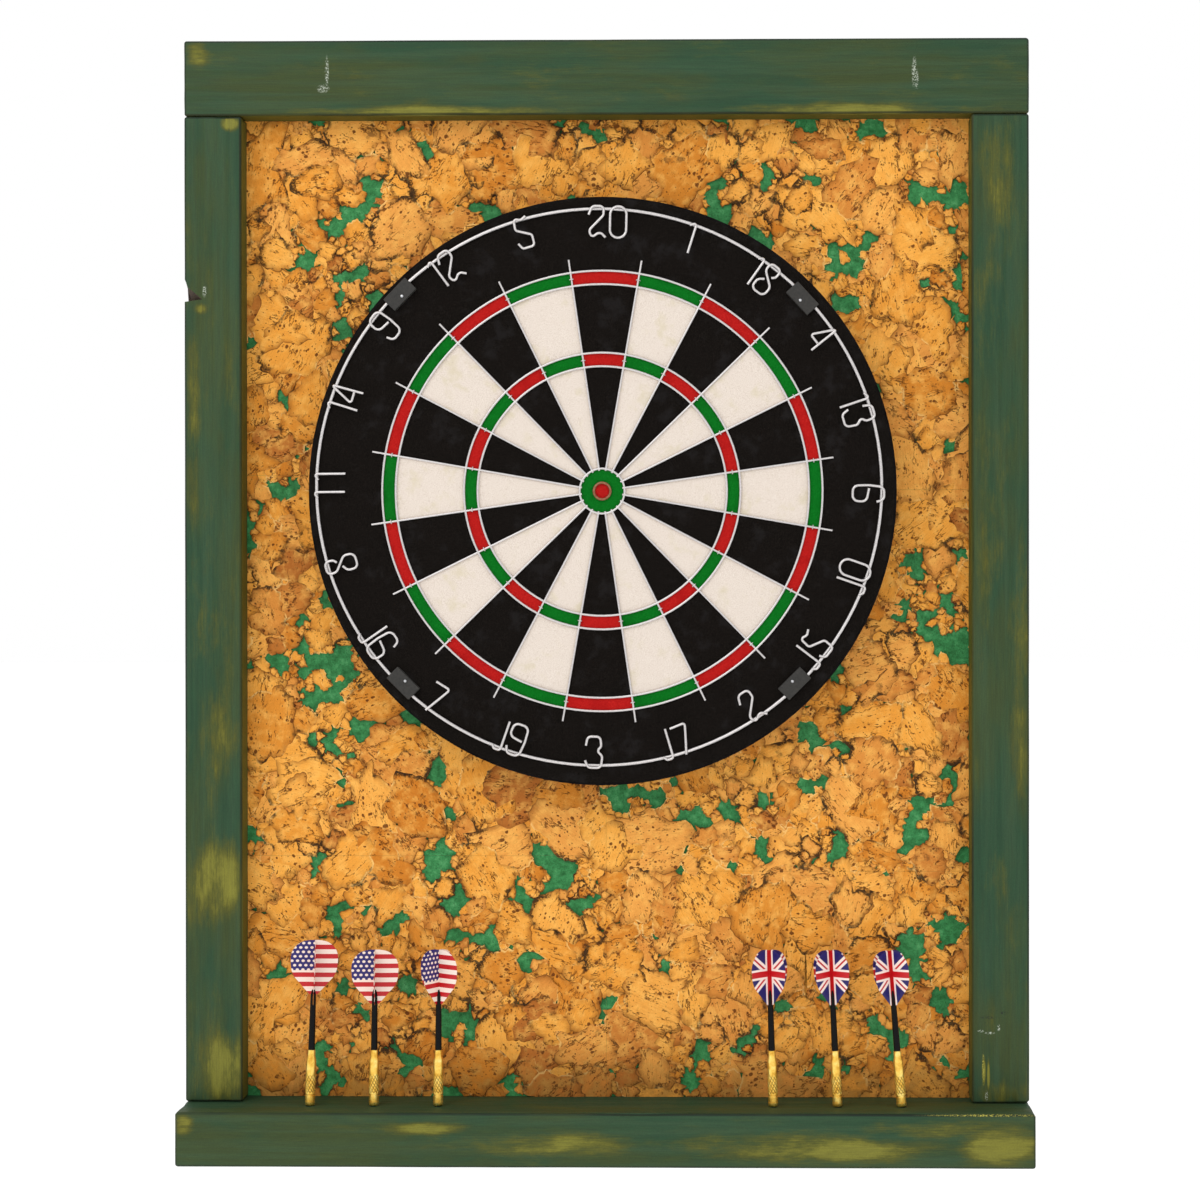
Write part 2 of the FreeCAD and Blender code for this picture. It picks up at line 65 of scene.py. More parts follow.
# smallest and largest radius of the flakes laid in each stage, the share of the back they leave
# covered, and how finely their outlines are broken
flake_stages = ((15, 30, 0.60, 3), (8, 14, 0.83, 3), (3.5, 7.0, 0.93, 2))
flake_seed = 104
bare_spacing = 44.0
bare_size = (2.0, 5.0)
flake_depth = 0.9
flake_bevel = 0.22
flake_bevel_inset = 0.5
flake_rim = 6.0
flake_tilt = 0.008
spoke_offset = 0.8
sectors = 20
bull_eye = 6.4
bull = 17.3
treble = (95.9, 106.4)
double = (159.0, 169.4)
point_depth = 32.0
barrel_lift = 0.6
barrel_length = 43.5
barrel_radius = 3.85
neck_radius = 2.9
neck_length = 5.0
flight_height = 42.0
flight_film = 0.17
knurl_depth = 0.46
knurled = (9.6, 25.5)
plate_length = 44.0
pocket_depth = 9.0
pocket_half_width = 7.0
pocket_half_height = 8.0
hole_radius = 2.6
hole_depth = 36.0
overrun = 1.0


def node_box(name):
    """A CAD node's lowest and highest corners in millimetres."""
    low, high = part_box(name)
    return np.array(low) / MM, np.array(high) / MM


# ---- shader building

def rgb(red, green, blue):
    """Display colour, 0 to 255, as linear light."""
    def linear(c):
        c = c / 255
        return c / 12.92 if c <= 0.04045 else ((c + 0.055) / 1.055) ** 2.4
    return (linear(red), linear(green), linear(blue), 1.0)


class Shader:
    """One material. Each method adds a node and returns its output; lengths are millimetres."""

    def __init__(self, name, rough=0.5, specular=0.5, metallic=0.0):
        self.material = bpy.data.materials.new(name)
        self.material.use_nodes = True
        self.tree = self.material.node_tree
        self.surface = self.tree.nodes["Principled BSDF"]
        self.surface.inputs["Roughness"].default_value = rough
        self.surface.inputs["Specular IOR Level"].default_value = specular
        self.surface.inputs["Metallic"].default_value = metallic

    def add(self, kind, links, **settings):
        node = self.tree.nodes.new(kind)
        for key, value in settings.items():
            setattr(node, key, value)
        for key, value in links.items():
            self.feed(value, node.inputs[key])
        return node

    def feed(self, value, socket):
        if isinstance(value, bpy.types.NodeSocket):
            self.tree.links.new(value, socket)
        else:
            socket.default_value = value

    def place(self):
        """Position on the piece at rest, in millimetres."""
        at = self.add("ShaderNodeTexCoord", {}).outputs["Object"]
        return self.stretch(at, (1 / MM, 1 / MM, 1 / MM))

    def stretch(self, vector, scale, shift=(0, 0, 0)):
        links = {"Vector": vector, "Scale": scale, "Location": shift}
        return self.add("ShaderNodeMapping", links).outputs[0]

    def stored(self, name, output="Vector"):
        return self.add("ShaderNodeAttribute", {}, attribute_name=name).outputs[output]

    def noise(self, where, size, detail=3.0, rough=0.5, distortion=0.0):
        links = {"Vector": where, "Scale": 1 / size, "Detail": detail, "Roughness": rough}
        links["Distortion"] = distortion
        return self.add("ShaderNodeTexNoise", links).outputs["Fac"]

    def cells(self, where, size):
        """Distance to the nearest of many scattered points."""
        links = {"Vector": where, "Scale": 1 / size}
        return self.add("ShaderNodeTexVoronoi", links).outputs["Distance"]

    def calc(self, operation, a, b=0.0):
        return self.add("ShaderNodeMath", {0: a, 1: b}, operation=operation).outputs[0]

    def step(self, value, low, high, start=0.0, end=1.0):
        """Smooth change from start to end as value goes from low to high."""
        links = {"Value": value, "From Min": low, "From Max": high, "To Min": start, "To Max": end}
        return self.add("ShaderNodeMapRange", links, interpolation_type="SMOOTHSTEP").outputs[0]

    def mix(self, share, a, b, blend="MIX"):
        node = self.add("ShaderNodeMix", {}, data_type="RGBA", blend_type=blend)
        self.feed(share, node.inputs["Factor"])
        self.feed(a, node.inputs[6])
        self.feed(b, node.inputs[7])
        return node.outputs[2]

    def ramp(self, value, *stops):
        node = self.add("ShaderNodeValToRGB", {0: value})
        band = node.color_ramp
        while len(band.elements) < len(stops):
            band.elements.new(0.5)
        for element, (position, colour) in zip(band.elements, stops):
            element.position = position
            element.color = colour
        return node.outputs[0]

    def spot(self, where, centre, radii, soft=0.5):
        """1 inside an ellipsoid, falling to 0 at its skin."""
        shift = tuple(-c / r for c, r in zip(centre, radii))
        shifted = self.stretch(where, tuple(1 / r for r in radii), shift)
        far = self.add("ShaderNodeVectorMath", {0: shifted}, operation="LENGTH").outputs["Value"]
        return self.step(far, 1 - soft, 1.0, 1.0, 0.0)

    def bump(self, height, distance, strength=1.0, normal=None):
        links = {"Height": height, "Distance": distance * MM, "Strength": strength}
        if normal is not None:
            links["Normal"] = normal
        return self.add("ShaderNodeBump", links).outputs[0]

    def done(self, colour, roughness=None, normal=None):
        self.feed(colour, self.surface.inputs["Base Color"])
        if roughness is not None:
            self.feed(roughness, self.surface.inputs["Roughness"])
        if normal is not None:
            self.feed(normal, self.surface.inputs["Normal"])
        return self.material


# ---- meshes and pieces

def mesh_from(name, points, faces, materials, face_materials=None, flat_over=None):
    """Mesh from millimetre points: smooth faces, creased where they turn more than flat_over degrees."""
    mesh = bpy.data.meshes.new(name)
    mesh.from_pydata((np.asarray(points, float) * MM).tolist(), [], faces)
    for material in materials:
        mesh.materials.append(material)
    if face_materials is not None:
        mesh.polygons.foreach_set("material_index", np.asarray(face_materials, np.int32))
    mesh.polygons.foreach_set("use_smooth", np.ones(len(mesh.polygons), bool))
    if flat_over is not None:
        mesh.set_sharp_from_angle(angle=math.radians(flat_over))
    return mesh


def band_faces(lower, upper, count):
    """Quads between two rings of points, given the first point of each."""
    around = [(k, (k + 1) % count) for k in range(count)]
    return [(lower + k, lower + n, upper + n, upper + k) for k, n in around]


def turned_faces(rings, count):
    """Faces over rings of points, with one point before the first ring and one after the last."""
    faces = [(0, 1 + (k + 1) % count, 1 + k) for k in range(count)]
    for ring in range(1, rings):
        start = 1 + ring * count
        faces += band_faces(start - count, start, count)
    last = 1 + (rings - 1) * count
    return faces + [(last + k, last + (k + 1) % count, last + count) for k in range(count)]


def store(mesh, name, values):
    """Keep one number, or one vector, for each vertex, for the shaders to read."""
    values = np.asarray(values, np.float32)
    kind = "FLOAT_VECTOR" if values.ndim == 2 else "FLOAT"
    layer = mesh.attributes.new(name, kind, "POINT")
    layer.data.foreach_set("vector" if values.ndim == 2 else "value", values.ravel())


def piece(name, mesh, body, finish, *nodes):
    """A visible piece that rides on a body and stands for CAD nodes."""
    thing = bpy.data.objects.new(name, mesh)
    bpy.context.scene.collection.objects.link(thing)
    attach(thing, body)
    if nodes:
        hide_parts(*nodes)


def paint(material, *names):
    """Give CAD nodes that keep their own shape a material."""
    for name in names:
        mesh = frame["nodes"][name].data
        mesh.materials.clear()
        mesh.materials.append(material)


def ripple(points, seed, size, stretch=(1, 1, 1), waves=14):
    """Smooth random field, about -1 to 1, with features of about the given size."""
    rng = np.random.default_rng(seed)
    total = np.zeros(len(points))
    scaled = np.asarray(points, float) * np.array(stretch)
    for _ in range(waves):
        way = rng.normal(size=3)
        way = way / np.linalg.norm(way) * rng.uniform(0.6, 1.6)
        total += np.sin(scaled @ way * 2 * math.pi / size + rng.uniform(0, 2 * math.pi))
    return total / math.sqrt(waves)


# ---- timber

def stations(low, high, step):
    """Cuts along one axis of a bar: close together in the rounded arris, then evenly spaced."""
    near = [0.0, 0.25 * arris, 0.6 * arris]
    count = max(2, round((high - low - 2 * arris) / step))
    middle = np.linspace(low + arris, high - arris, count + 1)
    return np.concatenate([[low + n for n in near], middle, [high - n for n in reversed(near)]])


def bar_shell(low, high, step):
    """Points and faces of a box divided at the stations, with shared edges."""
    cuts = [stations(low[k], high[k], step[k]) for k in range(3)]
    last = [len(c) - 1 for c in cuts]
    index, points, faces = {}, [], []

    def corner(key):
        if key not in index:
            index[key] = len(points)
            points.append([cuts[k][key[k]] for k in range(3)])
        return index[key]

    for axis in range(3):
        a, b = (axis + 1) % 3, (axis + 2) % 3
        for side in (0, last[axis]):
            for i in range(last[a]):
                for j in range(last[b]):
                    loop = []
                    for di, dj in ((0, 0), (1, 0), (1, 1), (0, 1)):
                        key = [0, 0, 0]
                        key[axis], key[a], key[b] = side, i + di, j + dj
                        loop.append(corner(tuple(key)))
                    faces.append(loop if side else loop[::-1])
    return np.array(points), faces


def timber_bar(name, node, grain, seed, material, towards_opening, dents=()):
    """Planed bar with hand-rubbed edges, a little waviness and a few dents."""
    low, high = node_box(node)
    step = [step_along if k == grain else step_across for k in range(3)]
    points, faces = bar_shell(low, high, step)
    inner = np.clip(points, low + arris, high - arris)
    out = points - inner
    length = np.linalg.norm(out, axis=1)
    out = out / length[:, None]
    edge = (np.abs(out) > 0.12).sum(axis=1) > 1
    stretch = [0.25 if k == grain else 1.0 for k in range(3)]
    rubbed = np.clip(ripple(points, seed, rub_size, stretch), 0, 2) * rub_depth
    wavy = wave_depth * ripple(points, seed + 1, wave_size, stretch)
    sunk = planed_depth + wavy + np.where(edge, rubbed, 0)
    for centre, radius, depth in dents:
        gap = np.linalg.norm(points - np.array(centre), axis=1) / radius
        sunk = sunk + depth * np.clip(1 - gap ** 2, 0, 1)
    points = inner + out * (arris - np.clip(sunk, 0.02, None))[:, None]
    mesh = mesh_from(name, points, faces, [material])
    store(mesh, "arris", np.where(edge, 1.0, 0.0))
    store(mesh, "inner", np.clip(out @ np.array(towards_opening, float), 0, 1))
    return mesh


def solid(points, faces, material):
    """Cutting tool for boolean work; it is removed after the cut."""
    mesh = mesh_from("tool", points, faces, [material])
    tool = bpy.data.objects.new("tool", mesh)
    bpy.context.scene.collection.objects.link(tool)
    return tool


def box_tool(low, high, material):
    sides = [(low[k], high[k]) for k in range(3)]
    corners = [(x, y, z) for x in sides[0] for y in sides[1] for z in sides[2]]
    faces = [(0, 1, 3, 2), (4, 6, 7, 5), (0, 4, 5, 1), (2, 3, 7, 6), (0, 2, 6, 4), (1, 5, 7, 3)]
    return solid(corners, faces, material)


def round_tool(radius, bottom, top, material, sides=32):
    turn = np.arange(sides) * 2 * math.pi / sides
    ring = np.stack([np.cos(turn), np.sin(turn)], axis=1) * radius
    points = [(bottom[0] + x, bottom[1] + y, bottom[2]) for x, y in ring]
    points += [(top[0] + x, top[1] + y, top[2]) for x, y in ring]
    faces = band_faces(0, sides, sides)
    faces += [tuple(reversed(range(sides))), tuple(range(sides, 2 * sides))]
    return solid(points, faces, material)


def cut(mesh, tools):
    """The mesh with the tools cut out of it, each cut taking its tool's material."""
    work = bpy.data.objects.new("work", mesh)
    bpy.context.scene.collection.objects.link(work)
    for tool in tools:
        step = work.modifiers.new("cut", "BOOLEAN")
        step.operation = "DIFFERENCE"
        step.solver = "EXACT"
        step.material_mode = "TRANSFER"
        step.object = tool
    graph = bpy.context.evaluated_depsgraph_get()
    result = bpy.data.meshes.new_from_object(work.evaluated_get(graph))
    for thing in [work] + tools:
        bpy.data.objects.remove(thing)
    result.polygons.foreach_set("use_smooth", np.ones(len(result.polygons), bool))
    result.set_sharp_from_angle(angle=math.radians(38))
    return result


def stained_timber(name, grain, marks):
    """Green stain rubbed thin: blue-green and olive bands, fine grain, yellow worn places."""
    s = Shader(name, rough=0.6, specular=0.2)
    p = s.place()
    along = [0.04 if k == grain else 1.0 for k in range(3)]
    loose = [0.3 if k == grain else 1.0 for k in range(3)]
    fibre = s.noise(s.stretch(p, along), 0.8, 5.0, 0.65)
    band = s.noise(s.stretch(p, along), 7.0, 3.0, 0.55, 0.3)
    cloud = s.noise(s.stretch(p, loose), 42.0, 4.0, 0.6)
    speck = s.noise(p, 1.1, 2.0, 0.7)
    stain = s.mix(s.step(cloud, 0.36, 0.62), rgb(39, 69, 46), rgb(57, 70, 36))
    stain = s.mix(s.step(band, 0.35, 0.7, 0.0, 0.45), stain, rgb(60, 84, 58))
    blotch = s.noise(s.stretch(p, loose, (31, 17, 5)), 24.0, 6.0, 0.68)
    patches = 0.0
    for centre, radii, amount in marks["yellow"]:
        patch = s.calc("MULTIPLY", s.spot(p, centre, radii, 0.8), amount)
        patches = s.calc("MAXIMUM", patches, patch)
    field = s.calc("ADD", blotch, s.calc("MULTIPLY", patches, 0.36))
    field = s.calc("ADD", field, s.calc("MULTIPLY", fibre, 0.12))
    worn = s.step(field, 0.6, 0.95, 0.0, 0.85)
    worn = s.calc("MAXIMUM", worn, s.calc("MULTIPLY", s.stored("inner", "Fac"), 0.75))
    rubbed = s.mix(s.step(field, 0.78, 1.0), rgb(94, 90, 24), rgb(128, 124, 46))
    colour = s.mix(worn, stain, rubbed)
    # painted shade: a dark line along the rounded arrises, patchy with the cloud noise
    edge = s.calc("MULTIPLY", s.stored("arris", "Fac"), s.step(cloud, 0.3, 0.7, 0.85, 0.3))
    colour = s.mix(edge, colour, rgb(24, 32, 26))
    # small marks: worn paint, and a painted highlight and painted shade at the dent and the chip
    for centre, radii, shade in marks["paint"]:
        scratch = s.calc("MULTIPLY", s.spot(p, centre, radii, 0.7), s.step(speck, 0.46, 0.6))
        colour = s.mix(scratch, colour, shade)
    tone = s.calc("MULTIPLY", s.step(fibre, 0.25, 0.75, 0.84, 1.14), s.step(speck, 0.3, 0.7, 0.93, 1.05))
    grey = s.add("ShaderNodeCombineColor", {0: tone, 1: tone, 2: tone}).outputs[0]
    colour = s.mix(1.0, colour, grey, "MULTIPLY")
    relief = s.bump(fibre, 0.25, 0.7)
    relief = s.bump(band, 0.4, 0.4, relief)
    return s.done(colour, s.step(fibre, 0.3, 0.7, 0.5, 0.72), relief)


def raw_wood(name):
    """Bare, darkened softwood inside dents, holes and the rebate."""
    s = Shader(name, rough=0.8, specular=0.1)
    p = s.place()
    fibre = s.noise(s.stretch(p, (1, 1, 0.1)), 1.2, 4.0, 0.6)
    colour = s.ramp(fibre, (0.3, rgb(48, 40, 42)), (0.7, rgb(92, 78, 62)))
    return s.done(colour, normal=s.bump(fibre, 0.3, 0.6))


# pale marks: worn paint on the rail and the right stile, and a painted highlight at the right stile's dent
# and the left stile's chip
pale_wear_and_highlight = rgb(176, 184, 168)
# painted shade inside the right stile's dent
painted_dent_shade = rgb(34, 38, 36)
yellow_rub = rgb(176, 168, 74)
rail_marks = {
    "yellow": [((-150, -34, 379), (190, 8, 7), 0.8), ((170, -34, 380), (150, 8, 7), 0.5),
               ((-318, -34, 425), (14, 8, 18), 0.8), ((190, -34, 378), (120, 8, 10), 0.9)],
    "paint": [((-217, -34, 410), (2.0, 6, 15), pale_wear_and_highlight), ((-220, -34, 397), (6, 6, 4), pale_wear_and_highlight),
              ((240, -34, 408), (2.6, 6, 15), pale_wear_and_highlight), ((242, -34, 402), (1.6, 6, 9), pale_wear_and_highlight)],
}
left_marks = {
    "yellow": [((-304, -34, -368), (40, 12, 44), 1.0), ((-300, -34, -222), (40, 12, 50), 1.0),
               ((-293, -34, 370), (14, 8, 9), 1.2), ((-322, -34, 120), (9, 8, 110), 0.7),
               ((-300, -34, -100), (24, 8, 80), 0.6), ((-316, -34, 226), (8, 8, 6), 0.8)],
    # painted highlight along the edge of the piece broken out of the stile
    "paint": [((-313, -34, 240), (2.2, 5, 6), pale_wear_and_highlight)],
}
right_marks = {
    "yellow": [((293.5, -34, -368), (2.2, 6, 17), 1.3), ((297, -34, -372), (1.8, 6, 18), 1.3),
               ((322, -34, -60), (14, 8, 180), 0.6), ((300, -34, 330), (26, 8, 70), 0.5),
               ((305, -34, -385), (34, 8, 14), 0.6), ((300, -34, 80), (24, 8, 120), 0.45)],
    # the first three pale strokes are a painted highlight on the dent's rim; the two dark strokes are painted
    # shade inside the dent
    "paint": [((291, -34, -336.5), (3, 5, 1.2), pale_wear_and_highlight), ((298, -34, -338), (5, 5, 1.3), pale_wear_and_highlight),
              ((305, -34, -334), (1.6, 5, 3.2), pale_wear_and_highlight),
              ((309, -34, -322.4), (4.5, 5, 1.8), painted_dent_shade), ((297, -34, -326), (8, 5, 1.8), painted_dent_shade),
              ((295.5, -34, -387), (1.6, 5, 5), pale_wear_and_highlight),
              ((293, -34, -366), (1.2, 5, 15), yellow_rub)],
}
shelf_marks = {
    "yellow": [((302, -72, -419), (46, 10, 20), 1.2), ((-138, -72, -404), (48, 8, 8), 1.0),
               ((-40, -72, -416), (110, 8, 14), 0.7), ((160, -72, -419), (140, 8, 16), 0.95),
               ((-322, -72, -402), (12, 12, 14), 0.9), ((240, -72, -404), (70, 8, 12), 0.7)],
    "paint": [((290, -72, -394), (60, 5, 1.2), yellow_rub)],
}


def build_timber():
    raw = raw_wood("raw_softwood")
    panel_low, panel_high = node_box("back_panel")
    cork_front = node_box("cork_tile_left_top")[0][1]
    rebate_low = np.array([panel_low[0], cork_front, panel_low[2]])
    rebate_high = panel_high + np.array([0, overrun, 0])

    def rebate():
        return box_tool(rebate_low, rebate_high, raw)

    rail = timber_bar("top_rail_timber", "top_rail", 0, 11,
                      stained_timber("stained_rail", 0, rail_marks), (0, 0, -1))
    plates_low, plates_high = node_box("hanger_plates")
    plate_middle = np.array([plate_length / 2, 0, (plates_high[2] - plates_low[2]) / 2])
    pocket_half = np.array([pocket_half_width, 0, pocket_half_height])
    tools = [rebate()]
    for x0 in (plates_low[0], plates_high[0] - plate_length):
        seat_low = np.array([x0, plates_low[1], plates_low[2]])
        tools.append(box_tool(seat_low, (x0 + plate_length, overrun, plates_high[2]), raw))
        centre = seat_low + plate_middle
        pocket_low = centre - pocket_half - np.array([0, pocket_depth, 0])
        pocket_high = centre + pocket_half
        pocket_high[1] = overrun
        tools.append(box_tool(pocket_low, pocket_high, raw))
    piece("top_rail_timber", cut(rail, tools), "frame", "green_timber", "top_rail")

    left = timber_bar("left_stile_timber", "left_stile", 2, 23,
                      stained_timber("stained_left_stile", 2, left_marks), (1, 0, 0))
    # the piece broken out of the stile's outer edge
    chip = [(-331, -36, 231), (-315.5, -36, 233), (-331, -36, 255), (-326.0, -36, 244),
            (-331, -18, 231), (-326.2, -18, 233), (-331, -24, 252), (-314.8, -33.6, 233.4)]
    chip_faces = [(0, 1, 3), (0, 3, 2), (0, 4, 5), (0, 5, 7), (0, 7, 1), (1, 7, 3), (3, 7, 5),
                  (3, 5, 6), (3, 6, 2), (0, 2, 6), (0, 6, 4), (4, 6, 5)]
    piece("left_stile_timber", cut(left, [rebate(), solid(chip, chip_faces, raw)]), "frame",
          "green_timber", "left_stile")

    dents = [((300, -34, -328), 9.0, 0.9), ((306, -34, -334), 4.5, 0.8), ((309, -34, -322), 3.5, 1.0)]
    right = timber_bar("right_stile_timber", "right_stile", 2, 37,
                       stained_timber("stained_right_stile", 2, right_marks), (-1, 0, 0), dents)
    piece("right_stile_timber", cut(right, [rebate()]), "frame", "green_timber", "right_stile")

    shelf = timber_bar("dart_shelf_timber", "dart_shelf", 0, 53,
                       stained_timber("stained_shelf", 0, shelf_marks), (0, 0, 0))
    top = node_box("dart_shelf")[1][2]
    holes = []
    for dart in darts():
        x, y = dart["hole"][:2]
        holes.append(round_tool(hole_radius, (x, y, top - hole_depth), (x, y, top + overrun), raw))
    piece("dart_shelf_timber", cut(shelf, holes), "frame", "green_timber", "dart_shelf")


# ---- cork

def broken_outline(rng, radius, levels, longest=1.5):
    """Outline of a bark flake: a few corners joined by crooked edges, counter-clockwise."""
    corners = rng.integers(5, 9)
    turn = (np.arange(corners) + rng.uniform(-0.35, 0.35, corners)) * 2 * math.pi / corners
    reach = radius * rng.uniform(0.6, 1.2, corners)
    ring = np.stack([np.cos(turn) * reach * rng.uniform(1.0, longest), np.sin(turn) * reach], axis=1)
    for _ in range(levels):
        edge = np.roll(ring, -1, axis=0) - ring
        across = np.stack([edge[:, 1], -edge[:, 0]], axis=1)
        middle = ring + edge / 2 + across * rng.normal(0, 0.14, len(ring))[:, None]
        ring = np.stack([ring, middle], axis=1).reshape(-1, 2)
    spin = rng.uniform(0, 2 * math.pi)
    c, s = math.cos(spin), math.sin(spin)
    return ring @ np.array([[c, s], [-s, c]]), spin


def covers(ring, xs, zs):
    """Which grid points lie inside an outline."""
    gx, gz = np.meshgrid(xs, zs)
    inside = np.zeros(gx.shape, bool)
    for a, b in zip(ring, np.roll(ring, -1, axis=0)):
        if a[1] == b[1]:
            continue
        crosses = (gz < a[1]) != (gz < b[1])
        at = a[0] + (gz - a[1]) * (b[0] - a[0]) / (b[1] - a[1])
        inside ^= crosses & (gx < at)
    return inside


def footprint(ring, low, shape):
    """The 1 mm cells an outline lies on: their window in the grid, and which are inside."""
    c0, r0 = np.clip(np.floor(ring.min(0) - low), 0, None).astype(int)
    c1, r1 = np.ceil(ring.max(0) - low).astype(int)
    window = (slice(r0, max(r0, min(r1, shape[0]))), slice(c0, max(c0, min(c1, shape[1]))))
    rows = np.arange(window[0].start, window[0].stop)
    columns = np.arange(window[1].start, window[1].stop)
    return window, covers(ring, low[0] + columns + 0.5, low[1] + rows + 0.5)


def scatter_flakes(rng, low, high):
    """Flakes over the whole back: big ones first, then chips in the gaps, with some places left bare."""
    width, height = high - low
    covered = np.zeros((int(height), int(width)), bool)
    bare = np.zeros_like(covered)
    for _ in range(int(width * height / bare_spacing ** 2)):
        place = rng.uniform(low, high)
        for _ in range(rng.integers(1, 5)):
            ring, _ = broken_outline(rng, rng.uniform(*bare_size), 2, 2.6)
            window, inside = footprint(ring + place, low, covered.shape)
            bare[window] |= inside
            place = place + rng.normal(0, 6.0, 2)
    flakes, most_tries, bare_share_hidden = [], 6000, 0.02
    for smallest, largest, share, levels in flake_stages:
        tries = 0
        while covered.mean() < share and tries < most_tries:
            tries += 1
            free = np.flatnonzero(~(covered | bare))
            row, column = divmod(rng.choice(free), covered.shape[1])
            centre = low + np.array([column, row]) + rng.uniform(0, 1, 2)
            ring, spin = broken_outline(rng, rng.uniform(smallest, largest), levels)
            ring = ring + centre
            window, inside = footprint(ring, low, covered.shape)
            if (bare[window] & inside).sum() > bare_share_hidden * inside.sum() + 1:
                continue
            covered[window] |= inside
            flakes.append((ring, centre, spin))
    return flakes


def flake_heights(rng, count, front):
    """How far back each flake's top lies: the first ones laid stand proud."""
    order = np.arange(count) / count
    return front + 0.05 + (cork_relief - 0.5) * np.clip(order * 0.85 + rng.uniform(0, 0.3, count), 0, 1)


def trim(mesh, low, high):
    """Cut the mesh off square at a tile's edges."""
    work = bmesh.new()
    work.from_mesh(mesh)
    for axis, limit, way in ((0, low[0], -1), (0, high[0], 1), (2, low[1], -1), (2, high[1], 1)):
        point, normal = Vector((0, 0, 0)), Vector((0, 0, 0))
        point[axis] = limit * MM
        normal[axis] = way
        everything = work.verts[:] + work.edges[:] + work.faces[:]
        bmesh.ops.bisect_plane(work, geom=everything, plane_co=point, plane_no=normal, clear_outer=True)
    work.to_mesh(mesh)
    work.free()


def cork_tile(name, node, flakes, tops, cork, paint_green):
    """A green-painted base with overlapping bark flakes glued to its front."""
    low, high = node_box(node)
    back, front = high[1], low[1]
    low2 = np.array([low[0], low[2]]) + tile_gap
    high2 = np.array([high[0], high[2]]) - tile_gap
    base = front + cork_relief + 0.2
    corners = [(low2[0], low2[1]), (high2[0], low2[1]), (high2[0], high2[1]), (low2[0], high2[1])]
    points = [(x, y, z) for y in (base, back) for x, z in corners]
    faces = [(0, 1, 2, 3), (7, 6, 5, 4), (0, 4, 5, 1), (1, 5, 6, 2), (2, 6, 7, 3), (3, 7, 4, 0)]
    kinds, tones, grains, rims = [1] * 6, [0.5] * 8, [(0, 0, 0)] * 8, [0.0] * 8
    for number, ((ring, centre, spin), top) in enumerate(zip(flakes, tops)):
        if (ring.max(0) < low2).any() or (ring.min(0) > high2).any():
            continue
        rng = np.random.default_rng(number)
        count = len(ring)
        tilt = rng.uniform(-1, 1, 2) * flake_tilt
        tone = rng.uniform(0, 1)
        seed_shift = rng.uniform(0, 400)
        middle = ring.mean(0)
        reach = np.linalg.norm(ring - middle, axis=1).mean()
        c, s = math.cos(spin), math.sin(spin)
        start = len(points)
        # how far each loop lies behind the flake's top and inside its outline, and its share of the rim
        loops = ((flake_depth, 0.0, 1.0), (flake_bevel, 0.0, 1.0), (0.0, flake_bevel_inset, 0.9),
                 (0.0, min(0.5 * reach, flake_rim), 0.0))
        for depth, inset, rim in loops:
            loop = middle + (ring - middle) * (1 - inset / reach)
            y = np.maximum(top + depth + (loop - centre) @ tilt, front + 0.03)
            points += np.stack([loop[:, 0], y, loop[:, 1]], axis=1).tolist()
            local = (loop - centre) @ np.array([[c, -s], [s, c]])
            grains += np.column_stack([local, np.full(count, seed_shift)]).tolist()
            tones += [tone] * count
            rims += [rim] * count
        for lower in (start, start + count, start + 2 * count):
            faces += band_faces(lower, lower + count, count)
        faces.append(tuple(range(start + 3 * count, start + 4 * count)))
        kinds += [0] * (3 * count + 1)
    mesh = mesh_from(name, points, faces, [cork, paint_green], kinds)
    store(mesh, "tone", tones)
    store(mesh, "grain", grains)
    store(mesh, "rim", rims)
    trim(mesh, low2, high2)
    mesh.set_sharp_from_angle(angle=math.radians(30))
    piece(name, mesh, "frame", "cork", node)


